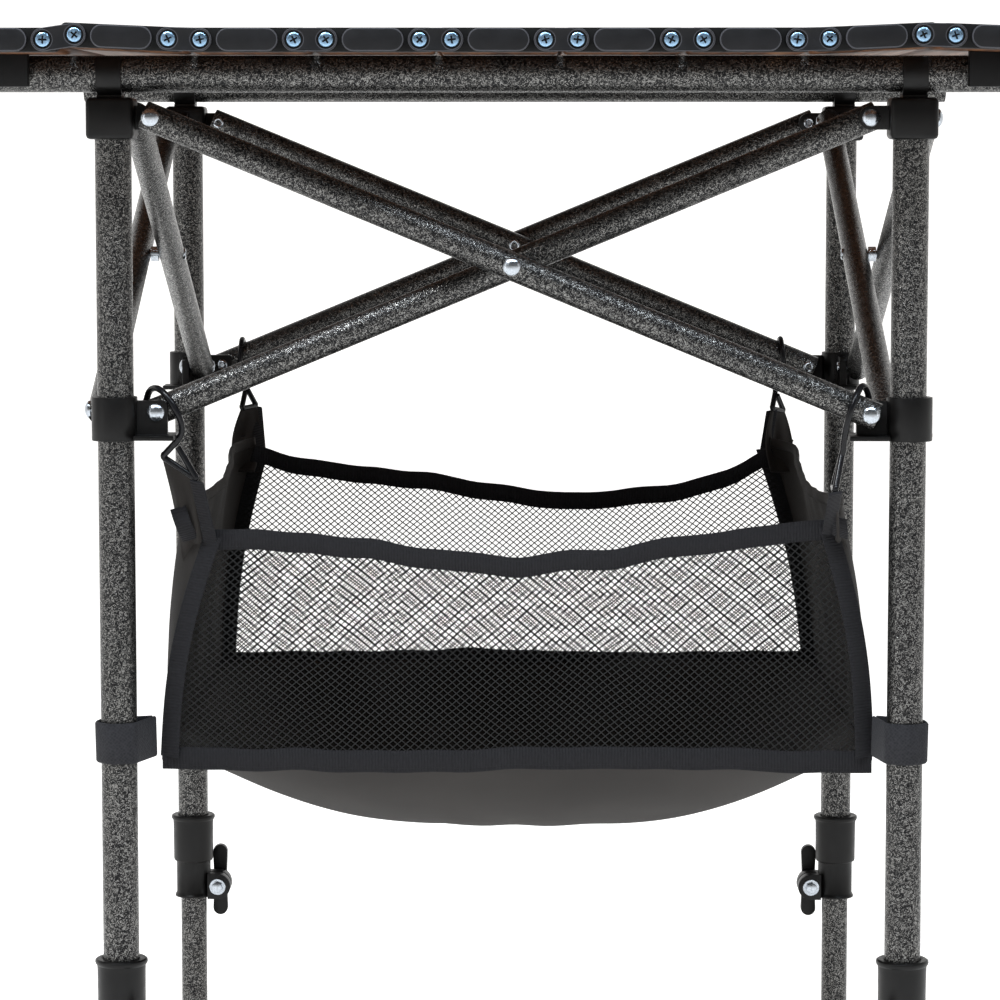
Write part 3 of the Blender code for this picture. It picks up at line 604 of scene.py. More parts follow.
def top_bracket():
    bottom, top, half = 0.7355, 0.7605, 0.0144
    rail_z = centre("rail_front").z
    outline = rounded_section(half, half, 0.0036, 4)
    body = plate(outline, top - bottom, Matrix.Translation((-0.0006, -0.0006, (top + bottom) / 2)), 0.0026)
    root = 0.0120 - PIVOT_OUT
    ear = [(root, -EAR_R), *arc((0, 0), EAR_R, -90, 90, 14), (root, EAR_R)]
    outer, inner = RAIL_R + 0.0032, RAIL_R + RUNNING_FIT
    band = arc((0, 0), outer, 135, 405, 30) + arc((0, 0), inner, 405, 135, 30)
    joins = [
        *ears(ear, PIVOT_Z[HIGH]),
        block((-0.0087, -0.0095, top - 0.002), (0.0063, 0.0095, rail_z - RAIL_R - 0.0015)),
        plate(band, 0.015, axes((-0.0012, 0, rail_z), (0, 1, 0), (0, 0, 1))),
    ]
    leg_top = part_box("upper_leg_front_left")[1].z
    cuts = [rod(UPPER_R + RUNNING_FIT, (0, 0, bottom - 0.01), (0, 0, leg_top + GAP), 48)]
    return solid(body, joins, cuts, 0.0006)


def slider():
    """A ring that runs on the upper leg, with an ear and a bottom flange towards each side."""
    bottom, top, ring_r, flange = 0.5540, 0.5805, 0.0139, 0.0028
    body = turned([(0, bottom), (ring_r, bottom), (ring_r, top), (0, top)], 64)
    body.data.transform(Matrix.Translation((-0.0007, -0.0007, 0)))
    floor, root = bottom + 0.0008 - PIVOT_Z[LOW], 0.0110 - PIVOT_OUT
    ear = [(root, floor), (EAR_R, floor), (EAR_R, 0.0035),
           *arc((EAR_R - 0.0037, 0.0035), 0.0037, 0, 90, 5), (root, EAR_R)]
    low, wide, reach = bottom + 0.0008, 0.0163, 0.0365
    joins = [
        *ears(ear, PIVOT_Z[LOW]),
        block((0.0122, -wide, low), (reach, wide, low + flange)),
        block((-wide, 0.0122, low), (wide, reach, low + flange)),
    ]
    cuts = [rod(UPPER_R + RUNNING_FIT, (0, 0, bottom - 0.01), (0, 0, top + 0.01), 48)]
    return solid(body, joins, cuts, 0.0006)


CLAMP_Z = JOINTS["knob_turn_front_left"]["pos_m"][2]
CLAMP_OUT = JOINTS["knob_turn_front_left"]["pos_m"][0] - LEG_AT["front_left"].x
CLAMP_HALF = 0.010


def collar():
    """Clamping collar: a flared rim, a tapered sleeve, a step and split clamp ears."""
    bottom, step, rim, top = 0.1730, 0.2002, 0.2276, 0.2346
    upper_bore, lower_bore = UPPER_R + RUNNING_FIT, LOWER_R + RUNNING_FIT
    profile = [
        (upper_bore, top - 0.0004), (upper_bore + 0.0008, top), (0.0150, top), (0.0160, top - 0.0007),
        (0.0162, top - 0.0019), (0.0158, top - 0.0031), (0.0150, top - 0.0040), (0.0148, rim), (0.0146, step + 0.0012),
        (0.0141, step), (0.0128, step - 0.0006), (0.0126, step - 0.0016), (0.0126, bottom + 0.0034),
        (0.0132, bottom + 0.0020), (0.0138, bottom + 0.0010), (0.0137, bottom), (lower_bore + 0.0005, bottom),
        (lower_bore, bottom + 0.0005), (lower_bore, step), (upper_bore, step),
    ]
    ear_r, root = 0.0095, CLAMP_OUT - 0.0110
    outline = [(-root, -ear_r), *arc((0, 0), ear_r, -90, 90, 16), (-root, ear_r)]
    ear = plate(outline, 2 * CLAMP_HALF, axes((CLAMP_OUT, 0, CLAMP_Z), (1, 0, 0), (0, 0, 1)))
    slit = block((0.0088, -0.0011, CLAMP_Z - 0.020), (0.030, 0.0011, CLAMP_Z + 0.0125))
    return solid(turned(profile, 48, closed=True), [ear], [slit], 0.0007, 3)


def clamp_knob():
    """Wing knob on the outer side of the clamp."""
    at, outward = vec(CLAMP_OUT, 0, CLAMP_Z), vec(0, -1, 0)
    face = at + outward * (CLAMP_HALF + GAP)
    hub = rod(0.0085, face, face + outward * 0.0068, 40)
    up = vec(0, 0, 1)
    lobe, reach, waist = 0.0054, 0.0212, 0.0048
    outline = [*arc((reach, 0), lobe, -90, 90, 16), (0.006, waist), (-0.006, waist),
               *arc((-reach, 0), lobe, 90, 270, 16), (-0.006, -waist), (0.006, -waist)]
    wing = plate(outline, 0.0063, axes(face + outward * 0.0088, up, outward.cross(up)))
    return solid(hub, [wing], (), 0.0009, 3)


def clamp_bolt():
    """The bolt that the knob draws up: a hexagon head on its washer."""
    at, inward = vec(CLAMP_OUT, 0, CLAMP_Z), vec(0, 1, 0)
    face = at + inward * (CLAMP_HALF + GAP)
    washer = turned([(0, 0), (0.0061, 0), (0.0061, 0.0008), (0.0058, 0.0011), (0, 0.0011)], 40, at=facing(face, inward))
    head = plate(arc((0, 0), 0.0041, 20, 320, 5), 0.0030, facing(face + inward * 0.0026, inward), 0.0004)
    shank = rod(0.0030, face, at - inward * (CLAMP_HALF + 0.004), 20)
    return joined(head, washer, shank)


def foot():
    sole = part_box("foot_front_left")[0].z
    seat, top = sole + 0.008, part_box("foot_front_left")[1].z
    profile = [(0, seat), (0.0098, seat), (0.0098, top - 0.0006), (0.0104, top), (0.0110, top), (0.0115, top - 0.0007)]
    for ring in range(4):   # shallow grip rings up the side
        z = top - 0.004 - ring * 0.0045
        r = 0.0115 + (top - z) * 0.08
        profile += [(r, z), (r - 0.0005, z - 0.0006), (r - 0.0005, z - 0.0016), (r, z - 0.0022)]
    profile += [(0.0135, sole + 0.0045), (0.0134, sole + 0.0012), (0.0125, sole + 0.0003), (0.0118, sole), (0, sole)]
    return turned(profile, 48)


# Name of the pieces: how one is made, its finish, and its node, which the bolt shares with its knob
FITTINGS = {
    "top_bracket_moulded": (top_bracket, BLACK_PLASTIC, "top_bracket"),
    "slider_moulded": (slider, BLACK_PLASTIC, "slider"),
    "collar_moulded": (collar, BLACK_PLASTIC, "collar"),
    "wing_knob_moulded": (clamp_knob, BLACK_PLASTIC, "clamp_knob"),
    "foot_moulded": (foot, RUBBER, "foot"),
    "clamp_bolt": (clamp_bolt, STEEL, "clamp_knob"),
}
for name, (make, finish, node) in FITTINGS.items():
    master = make()
    for corner in CORNERS:
        replaced = [] if name == "clamp_bolt" else [f"{node}_{corner}"]
        put(for_corner(master, corner), f"{name}_{corner}", finish, BODY_OF[f"{node}_{corner}"], *replaced, sharp=30)
    drop(master)


# ---------------------------------------------------------------- roll top

SLATS, MIDDLE = 9, 5
PITCH, PIN_GAP = 0.073, 0.0186
SLAT_WIDE, SLAT_THICK, SLAT_HALF_LENGTH = 0.071, 0.014, 0.311
BODY_HALF = 0.2985          # the walnut part ends here and the moulded cap begins
LINK_THICK = 0.0036
BOSS_R = 0.0068
BLANK_WIDE = 0.036
SLAT_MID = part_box("slat_5")[1].z - SLAT_THICK / 2
# The loose chain of slats stands up a little here: slat number, rise of its left and right pin
PIN_RISE = {2: (0.0028, 0.0004), 8: (0.0004, 0.0028), 9: (0.0024, 0.0004)}


def slat_pins():
    """Left and right pin of each slat, walking outwards from the middle slat."""
    reach = PITCH - PIN_GAP
    rise = {k: PIN_RISE.get(k, (0.0, 0.0)) for k in range(1, SLATS + 1)}

    def run(length, lift):
        return sqrt(length * length - lift * lift)

    pins = {MIDDLE: ((-reach / 2, rise[MIDDLE][0]), (reach / 2, rise[MIDDLE][1]))}
    for k in range(MIDDLE + 1, SLATS + 1):
        x, z = pins[k - 1][1]
        x += run(PIN_GAP, rise[k][0] - z)
        pins[k] = (x, rise[k][0]), (x + run(reach, rise[k][1] - rise[k][0]), rise[k][1])
    for k in range(MIDDLE - 1, 0, -1):
        x, z = pins[k + 1][0]
        x -= run(PIN_GAP, rise[k][1] - z)
        pins[k] = (x - run(reach, rise[k][1] - rise[k][0]), rise[k][0]), (x, rise[k][1])
    return {k: [vec(x, 0, SLAT_MID + z) for x, z in pair] for k, pair in pins.items()}


def lying(middle, along):
    """A plate's own XY upright across a slat's end: X along the chain, Z towards the back."""
    along = along.normalized()
    up = vec(0, 1, 0).cross(along) * -1
    return axes(middle, along, up)


def mirrored_ends(obj):
    """Adds the front end's twin of a piece made at the back end."""
    twin = bpy.data.objects.new("twin", obj.data.copy())
    twin.data.transform(Matrix.Diagonal((1, -1, 1, 1)))
    twin.data.flip_normals()
    return joined(obj, twin)


def screw_head():
    """A pan head with a cross recess, on its own Z axis, its seat at the origin."""
    head_r, rise = 0.00445, 0.0011
    head = turned([(0, -0.0008), (head_r, -0.0008), (head_r, 0.0), (0.0041, 0.0006), (0.0032, 0.00095),
                   (0.0018, rise), (0, rise)], 32)
    wide, reach = 0.0011, 0.0024
    cross = [block((-reach, -wide / 2, -0.0003), (reach, wide / 2, 0.003)),
             block((-wide / 2, -reach, -0.0003), (wide / 2, reach, 0.003))]
    return solid(head, (), cross, 0.00015, 1)


SCREW = screw_head()
RECESS_R, RECESS_DEEP = 0.0056, 0.0014


def link_plate(first, second, screws):
    """A link between two slats' pins at the back end, with a recess and a screw at each pin."""
    along = second - first
    face_y = PLATE_FACE
    middle = (first + second) / 2 + vec(0, face_y - LINK_THICK / 2, 0)
    bar = plate(stadium(along.length / 2, BOSS_R), LINK_THICK, lying(middle, along))
    pits = []
    for pin in (first, second):
        floor = pin + vec(0, face_y - RECESS_DEEP, 0)
        pits.append(rod(RECESS_R, floor, floor + vec(0, 0.004, 0), 32))
        head = bpy.data.objects.new("screw", SCREW.data.copy())
        spin = Matrix.Rotation(radians(37 * noise.noise(pin * 90) * 4), 4, "Z")
        head.data.transform(facing(floor, (0, 1, 0)) @ spin)
        screws.append(head)
    return solid(bar, (), pits, 0.00045)


def slat(number, pins):
    left, right = pins[number]
    middle, along = (left + right) / 2, right - left
    node, body = f"slat_{number}", BODY_OF[f"slat_{number}"]
    half_wide, half_thick = SLAT_WIDE / 2, SLAT_THICK / 2
    board = plate(rounded_section(half_wide, half_thick, 0.003), 2 * BODY_HALF, lying(middle, along))
    put(board, f"{node}_board", WALNUT, body, node, sharp=30)

    at = middle + vec(0, (BODY_HALF + SLAT_HALF_LENGTH) / 2, 0)
    cap = plate(rounded_section(half_wide, half_thick, 0.003), SLAT_HALF_LENGTH - BODY_HALF, lying(at, along), 0.0004)
    at = middle + vec(0, (PLATE_FACE + SLAT_HALF_LENGTH - 0.001) / 2, 0)
    blank = plate(stadium(BLANK_WIDE / 2 - BOSS_R, BOSS_R), PLATE_FACE - SLAT_HALF_LENGTH + 0.001,
                  lying(at, along), 0.0008)
    parts, screws = [cap, blank], []
    if number < MIDDLE:
        parts.append(link_plate(right, pins[number + 1][0], screws))
    if number > MIDDLE:
        parts.append(link_plate(pins[number - 1][1], left, screws))
    if number in (1, SLATS):
        low_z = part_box(node)[0].z
        lug_y = HALF + RAIL_R + 0.0005
        lug = block((middle.x - 0.0125, lug_y, low_z), (middle.x + 0.0110, lug_y + 0.0085, SLAT_MID - 0.005))
        parts.append(solid(lug, ease=0.0008))
    put(mirrored_ends(joined(*parts)), f"{node}_caps", CAP_PLASTIC, body, sharp=30)
    if screws:
        put(mirrored_ends(joined(*screws)), f"{node}_screws", ZINC, body, sharp=30)


PINS = slat_pins()
for number in range(1, SLATS + 1):
    slat(number, PINS)
drop(SCREW)


# ---------------------------------------------------------------- wire hooks

WIRE_R = 0.0020
# Each hook's route over its arm and down: (in from the leg's axis, height, out from the arm's middle)
HOOK_ARCH = {
    "front_left": [(0.0148, 0.5705, -0.0107), (0.0166, 0.5775, -0.0092), (0.0190, 0.5828, -0.0052),
                   (0.0226, 0.5848, 0.0000), (0.0268, 0.5838, 0.0052), (0.0306, 0.5806, 0.0088),
                   (0.0355, 0.5735, 0.0112), (0.0389, 0.5664, 0.0110), (0.0397, 0.5593, 0.0098),
                   (0.0380, 0.5550, 0.0086)],
    "front_right": [(0.0225, 0.5690, -0.0110), (0.0240, 0.5795, -0.0100), (0.0262, 0.5858, -0.0055),
                    (0.0292, 0.5876, 0.0004), (0.0325, 0.5838, 0.0066), (0.0352, 0.5775, 0.0104),
                    (0.0376, 0.5706, 0.0108), (0.0392, 0.5630, 0.0086), (0.0400, 0.5555, 0.0048)],
    "back_right": [(0.0430, 0.5710, -0.0112), (0.0436, 0.5810, -0.0104), (0.0444, 0.5885, -0.0056),
                   (0.0447, 0.5908, 0.0002), (0.0452, 0.5880, 0.0062), (0.0460, 0.5800, 0.0106),
                   (0.0468, 0.5710, 0.0108), (0.0474, 0.5620, 0.0078), (0.0477, 0.5560, 0.0045)],
    "back_left": [(0.0372, 0.5690, -0.0112), (0.0376, 0.5790, -0.0104), (0.0381, 0.5865, -0.0056),
                  (0.0383, 0.5890, 0.0002), (0.0388, 0.5860, 0.0062), (0.0395, 0.5780, 0.0106),
                  (0.0402, 0.5700, 0.0108), (0.0406, 0.5620, 0.0078), (0.0407, 0.5580, 0.0050)],
}
# The loop below it: apex, then the two ends of the bar that carries the basket's tab
HOOK_LOOP = {
    "front_left": [(0.0352, 0.5517, 0.0076), (0.0271, 0.5432, 0.0020), (0.0484, 0.5293, 0.0050)],
    "front_right": [(0.0402, 0.5500, 0.0030), (0.0450, 0.5262, -0.0085), (0.0458, 0.5255, 0.0125)],
    "back_right": [(0.0477, 0.5518, 0.0040), (0.0507, 0.5395, -0.0060), (0.0412, 0.5370, 0.0090)],
    "back_left": [(0.0407, 0.5539, 0.0044), (0.0379, 0.5380, -0.0060), (0.0476, 0.5390, 0.0090)],
}
HOOK_ARM = {"front_left": ("front", "inner"), "front_right": ("front", "outer"),
            "back_right": ("back", "inner"), "back_left": ("back", "outer")}


def hook_point(corner, point):
    inward, height, outward = point
    side, layer = HOOK_ARM[corner]
    x, y = CORNERS[corner]
    arm_y = arm_ends(side, layer)[1].y
    return vec(LEG_AT[corner].x - x * inward, arm_y + y * outward, height)


def rounded_corner(before, at, after, radius):
    return [at + (p - at).normalized() * radius * share
            for p, share in ((before, 1), (before, 0.45), (after, 0.45), (after, 1))]


def wire(corner):
    arch = [hook_point(corner, p) for p in HOOK_ARCH[corner]]
    apex, near, far = (hook_point(corner, p) for p in HOOK_LOOP[corner])
    close = apex + (far - apex).normalized() * 0.003 + vec(0, -CORNERS[corner][1] * 0.0034, 0)
    path = arch + rounded_corner(arch[-1], apex, near, 0.0030)[2:] + rounded_corner(apex, near, far, 0.0030)
    path += rounded_corner(near, far, close, 0.0030) + [close]
    curve = bpy.data.curves.new("wire", "CURVE")
    curve.dimensions, curve.bevel_depth, curve.bevel_resolution = "3D", WIRE_R, 5
    curve.use_fill_caps, curve.resolution_u = True, 8
    spline = curve.splines.new("BEZIER")
    spline.bezier_points.add(len(path) - 1)
    for knot, at in zip(spline.bezier_points, path):
        knot.co, knot.handle_left_type, knot.handle_right_type = at, "AUTO", "AUTO"
    guide = link(bpy.data.objects.new("wire", curve))
    obj = bpy.data.objects.new("wire", evaluated(guide))
    drop(guide)
    node = f"s_hook_{corner}"
    return put(obj, f"wire_hook_{corner}", WIRE, BODY_OF[node], node, sharp=50)


HOOKS = {corner: wire(corner) for corner in CORNERS}


# ---------------------------------------------------------------- basket

BASE_Z = 0.354
BASE = {-1: FRAME_X - 0.2159, 1: FRAME_X + 0.2222}     # left and right bottom edges
BASE_Y = 0.216
RIM = {     # top corners of the net panels
    "front_left": vec(FRAME_X - 0.1888, -0.214, 0.4905),
    "front_right": vec(FRAME_X + 0.1985, -0.214, 0.4975),
    "back_right": vec(FRAME_X + 0.1876, 0.214, 0.5085),
    "back_left": vec(FRAME_X - 0.1901, 0.214, 0.5085),
}
RIM_DIP = {-1: 0.0206, 1: 0.0358}
# How far along its dip each net's rim hangs: (share from the left, share of the dip)
RIM_HANG = {
    -1: [(0, 0), (0.08, 0.0), (0.20, 0.25), (0.31, 0.58), (0.48, 1.0),
         (0.62, 0.84), (0.78, 0.42), (0.92, 0.11), (1, 0)],
    1: [(0, 0), (0.07, 0.29), (0.25, 0.50), (0.37, 0.65), (0.50, 0.88),
        (0.58, 1.0), (0.70, 0.97), (0.86, 0.735), (0.95, 0.42), (1, 0)],
}
SIDE_TOP, SIDE_DIP = 0.5190, 0.013
SAG = 0.0720
NET_WIDE, NET_HIGH, NET_HOLE = 0.0052, 0.0045, 0.78


def ends(y):
    return ("front_left", "front_right") if y < 0 else ("back_left", "back_right")


def base_corner(corner):
    x, y = CORNERS[corner]
    return vec(BASE[x], y * BASE_Y, BASE_Z)


def ease(t):
    return t * t * (3 - 2 * t)


def ruffle(at, size, depth):
    """A soft wandering of cloth, in metres, the same at each run."""
    return depth * noise.noise(at / size)


def seam(corner, t):
    """The sewn corner from the base (0) to the net's rim (1), bowed a little."""
    x, y = CORNERS[corner]
    bow = sin(pi * t)
    return base_corner(corner).lerp(RIM[corner], t) + vec(x * 0.0060 * bow, y * 0.0025 * bow, 0)


def rim_hang(y, s):
    """Share of the rim's dip, smoothed between its knots."""
    total = 0
    for near in (s - 0.025, s, s + 0.025):
        near = min(1, max(0, near))
        for (a, low), (b, high) in zip(RIM_HANG[y], RIM_HANG[y][1:]):
            if a <= near <= b:
                total += low + (high - low) * (near - a) / (b - a)
                break
    return total / 3


def net_point(y, s, t):
    """A point of a net panel: s from left (0) to right (1), t from the base (0) to the rim (1)."""
    left, right = ends(y)
    at = seam(left, t).lerp(seam(right, t), s)
    middle = 1 - (2 * s - 1) ** 2
    hang = rim_hang(y, s)
    wander = 0.0022 * noise.noise(vec(s * 13, y * 3, t)) * min(1, 12 * s, 12 * (1 - s))
    at.z -= RIM_DIP[y] * hang * t + 0.0012 * (1 - t) * sin(9 * s + y) + wander
    at.y += y * (0.006 * sin(pi * t) * middle - 0.004 * middle * t)
    at.y += ruffle(vec(at.x, y, at.z), 0.07, 0.003) * sin(pi * s)
    return at


def net(y):
    """A knitted diamond net as real threads, cut to the shape of its panel."""
    left, right = ends(y)
    widths = [(seam(right, t) - seam(left, t)).length for t in (0, 1)]
    length, height = max(widths), (RIM[left] - base_corner(left)).length
    shape, known, flat = bmesh.new(), {}, {}
    uv = shape.loops.layers.uv.new("UVMap")

    def share(u, v):
        wide = widths[0] + (widths[1] - widths[0]) * v / height
        s = 0.5 + (u - length / 2) / wide
        return s, v / (height * (1 - RIM_DIP[y] * rim_hang(y, min(1, max(0, s))) / (RIM[left].z - BASE_Z)))

    def vertex(u, v):
        key = (round(u * 1e6), round(v * 1e6))
        if key not in known:
            wander = vec(u * 60, v * 60, y)
            s, t = share(u + 0.0002 * noise.noise(wander), v + 0.0002 * noise.noise(wander + vec(9, 0, 0)))
            known[key] = shape.verts.new(net_point(y, min(1, max(0, s)), min(1, max(0, t))))
            flat[known[key]] = (u, v)
        return known[key]

    for row in range(2 * int(height / NET_HIGH) + 1):
        for column in range(int(length / NET_WIDE) + 1):
            u, v = (column + 0.5 * (row % 2)) * NET_WIDE, row * NET_HIGH / 2
            s, t = share(u, v)
            if not (0 <= s <= 1 and t <= 1):
                continue
            tips = [(u + NET_WIDE / 2, v), (u, v + NET_HIGH / 2), (u - NET_WIDE / 2, v), (u, v - NET_HIGH / 2)]
            outer = [vertex(*tip) for tip in tips]
            inner = [vertex(u + (a - u) * NET_HOLE, v + (b - v) * NET_HOLE) for a, b in tips]
            for i in range(4):
                face = shape.faces.new((outer[i], outer[(i + 1) % 4], inner[(i + 1) % 4], inner[i]))
                for loop in face.loops:
                    loop[uv].uv = flat[loop.vert]
    cut = sum(widths) / 2 * (height - RIM_DIP[y] / 2)
    return from_bmesh(shape, outwards=False, smooth=True), length, height, cut


def cloth(point, columns, rows, size, thickness=0.0009):
    """A cloth surface from point(u, v), with its flat measure in its UVs and real thickness."""
    shape = bmesh.new()
    uv = shape.loops.layers.uv.new("UVMap")
    grid = [[shape.verts.new(point(i / columns, j / rows)) for j in range(rows + 1)] for i in range(columns + 1)]
    for i in range(columns):
        for j in range(rows):
            face = shape.faces.new((grid[i][j], grid[i + 1][j], grid[i + 1][j + 1], grid[i][j + 1]))
            for loop, (a, b) in zip(face.loops, ((i, j), (i + 1, j), (i + 1, j + 1), (i, j + 1))):
                loop[uv].uv = (a / columns * size[0], b / rows * size[1])
    obj = from_bmesh(shape, outwards=False, smooth=True)
    wall = obj.modifiers.new("thickness", "SOLIDIFY")
    wall.thickness, wall.offset = thickness, 0
    return obj


def tape(path, across, width, thickness=0.0016):
    """A flat tape along a path; across is the way across it."""
    shape = bmesh.new()
    uv = shape.loops.layers.uv.new("UVMap")
    half, edge = width / 2, thickness / 2
    section = [(-half, -edge * 0.3), (-half + edge, -edge), (half - edge, -edge), (half, -edge * 0.3),
               (half, edge * 0.3), (half - edge, edge), (-half + edge, edge), (-half, edge * 0.3)]
    side, rings, runs = Vector(across).normalized(), [], [0.0]
    for before, at, after in zip(path[:1] + path, path, path[1:] + path[-1:]):
        normal = (after - before).normalized().cross(side).normalized()
        rings.append([shape.verts.new(at + side * a + normal * b) for a, b in section])
        runs.append(runs[-1] + (after - at).length)
    for low, high, start, end in zip(rings, rings[1:], runs, runs[1:]):
        for k in range(len(section)):
            n = (k + 1) % len(section)
            face = shape.faces.new((low[k], low[n], high[n], high[k]))
            for loop, (run, place) in zip(face.loops, ((start, k), (start, n), (end, n), (end, k))):
                loop[uv].uv = (run, section[place][0])
    shape.faces.new(reversed(rings[0]))
    shape.faces.new(rings[-1])
    return from_bmesh(shape)


def line(point, steps):
    return [point(i / steps) for i in range(steps + 1)]


def folds_across(obj, y, t):
    """Gives a piece its own copy of its mesh; the x of its left and right corner at height t of the panel is worked out
    and not used.
    """
    left, right = (seam(corner, t).x for corner in ends(y))
    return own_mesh(obj)


def folds_back(obj):
    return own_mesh(obj)


def net_panel(y):
    name = "front" if y < 0 else "back"
    body = f"{name}_left_slider"
    obj, length, height, cut = net(y)
    put(obj, f"basket_{name}_net", NET, body)
    folds_across(obj, y, 0.5)
    for part, t, shift, width in (("rim", 1, (0, y * 0.0006, 0), TAPE_WIDTH),
                                  ("base", 0, (0, y * 0.0012, 0.0002), TAPE_WIDTH + 0.0012)):
        piece = tape(line(lambda s: net_point(y, s, t) + Vector(shift), 60), (0, 0, 1), width)
        put(piece, f"basket_{name}_{part}_tape", TAPE, body, sharp=50)
        folds_across(piece, y, t)


def side_point(x, r, t):
    """A point of a woven side: r from the front (0) to the back (1), t from the base (0) to the top (1)."""
    front, back = ("front_left", "back_left") if x < 0 else ("front_right", "back_right")
    top = SIDE_TOP - SIDE_DIP * (1 - (2 * r - 1) ** 2)
    z = BASE_Z + (top - BASE_Z) * t
    middle = 1 - (2 * r - 1) ** 2
    bulge = BASE[x] + (FRAME_X + x * 0.2065 - BASE[x]) * t + x * 0.004 * sin(pi * t)
    at = vec(bulge - x * 0.008 * middle * t, (2 * r - 1) * (BASE_Y + 0.006 * t), z)
    for corner, near in ((front, r), (back, 1 - r)):
        hold = 1 - ease(min(1, near / 0.085))
        held = seam(corner, min(1.0, (z - BASE_Z) / (RIM[corner].z - BASE_Z)))
        at = at.lerp(vec(held.x, held.y + CORNERS[corner][1] * 0.001, z), hold)
    fold = sin(pi * r) ** 0.5 * (1 - 0.6 * t) * min(1, 6 * t)
    at.x += fold * (ruffle(vec(0, at.y, at.z * 0.25 + x), 0.045, 0.006)
                    + ruffle(vec(x, at.y, at.z * 0.5), 0.016, 0.0014))
    return at


def side_panel(x):
    name = "left" if x < 0 else "right"
    front_body = f"front_{name}_slider"
    size = (2 * BASE_Y + 0.012, SIDE_TOP - BASE_Z)
    obj = cloth(lambda r, t: side_point(x, r, t), 90, 30, size)
    put(obj, f"basket_{name}_side", CLOTH, front_body)
    folds_back(obj)
    hem = line(lambda r: side_point(x, r, 1) + vec(0, 0, -0.0030), 90)
    piece = tape(hem, (0, 0, 1), 0.0070, 0.0034)
    put(piece, f"basket_{name}_rolled_hem", CLOTH, front_body, sharp=60)
    folds_back(piece)


def floor_point(u, v):
    s, t = 2 * u - 1, 2 * v - 1
    half, middle = (BASE[1] - BASE[-1]) / 2, (BASE[1] + BASE[-1]) / 2
    hang = (1 - abs(s) ** 3.1) * (1 - abs(t) ** 2.6)
    at = vec(middle + s * half, t * BASE_Y, BASE_Z - SAG * hang)
    pleats = (1 - s ** 2) * (1 - t ** 2)
    radial = atan2(t, s)
    reach = min(1, hypot(s, t))
    at.z += pleats * (ruffle(vec(at.x, at.y, 0), 0.09, 0.004)
                      + 0.0016 * sin(11 * radial + 3 * noise.noise(at * 9)) * reach)
    return at


def follows(obj, body, share):
    """Lets a piece go with a second body as well, by a share from 0 to 1 at each point."""
    group = obj.vertex_groups.new(name=f"with_{body}")
    for vertex in obj.data.vertices:
        group.add([vertex.index], min(1, max(0, share(vertex.co))), "REPLACE")
    follow = obj.modifiers.new("follows", "HOOK")
    follow.object, follow.vertex_group = frame["bodies"][body], group.name
    follow.matrix_inverse = frame["bodies"][body].matrix_world.inverted()
    obj.modifiers.move(len(obj.modifiers) - 1, 0)


def basket_floor():
    size = (BASE[1] - BASE[-1] + 0.02, 2 * BASE_Y + 0.02)
    obj = cloth(floor_point, 72, 72, size)
    put(obj, "basket_floor", CLOTH, "front_left_slider", "basket")
    # The floor also closes towards the front: its back edge follows the back left slider
    follows(obj, "back_left_slider", lambda at: 0.5 + at.y / (2 * BASE_Y))
    folds_across(obj, -1, 0)


def corner_tape(corner):
    x, y = CORNERS[corner]
    path = line(lambda t: seam(corner, t) + vec(-x * 0.0045, y * 0.0022, 0.002), 26)
    piece = tape(path, (-x, y * 0.35, -0.10), 0.0120, 0.0018)
    return put(piece, f"basket_{corner}_corner_tape", TAPE, f"{corner}_slider", sharp=50)


def tab(corner):
    """The cloth tab from a hook's bar down to the basket's corner, gathered as it goes."""
    x, y = CORNERS[corner]
    _, near, far = (hook_point(corner, p) for p in HOOK_LOOP[corner])
    if (near.x - far.x) * x < 0:
        near, far = far, near
    low = RIM[corner] + vec(0, 0, -0.014)
    spread = 0.008 if y > 0 else -0.003     # the back tabs open out, the front ones are drawn in
    foot_wide = 0.0145 if corner != "front_right" else 0.0090

    def point(u, v):
        top = near.lerp(far, u)
        bottom = low + vec(x * (1 - u) * foot_wide, -y * 0.007, 0)
        at = top.lerp(bottom, v)
        swell = sin(pi * v)
        at.x += x * (0.5 - u) * spread * swell
        at.y += y * (0.0030 * swell * sin(pi * u) + 0.0018 * swell * sin(3.2 * pi * u + x))
        return at

    # The corner's own tape runs on from the rim up to the bar, beside the tab
    start, end = RIM[corner] + vec(-x * 0.0040, y * 0.0026, -0.003), far + vec(0, y * 0.0024, -0.001)
    strip = tape(line(lambda t: start.lerp(end, t), 12), (1, 0, 0.2 * x), 0.0085)
    # A short end of tape folded over itself on the tab's outer edge
    fold = line(lambda t: point(0.18 + 0.30 * t, 0.46 + 0.30 * t) + vec(0, y * (0.0016 + 0.0030 * sin(pi * t)), 0), 10)
    bit = tape(fold, (0.9, 0, -0.25 * x), 0.0100)
    size = (0.017, (near - low).length)
    obj = cloth(point, 22, 26, size, 0.0014)
    high = min(near.z, far.z)
    for piece, name, finish, sharp in (
            (obj, "tab", CLOTH, None), (strip, "tab_tape", TAPE, 50), (bit, "tape_end", TAPE, 50)):
        put(piece, f"basket_{corner}_{name}", finish, f"{corner}_slider", sharp=sharp)
        follows(piece, f"{corner}_hook", lambda at: (at.z - low.z) / (high - low.z))
    corner_tape(corner)


for sign in (-1, 1):
    net_panel(sign)
for sign in (-1, 1):
    side_panel(sign)
basket_floor()
for corner in CORNERS:
    tab(corner)


# ---------------------------------------------------------------- straps round the legs

STRAP_WIDE, STRAP_THICK = 0.0250, 0.0022


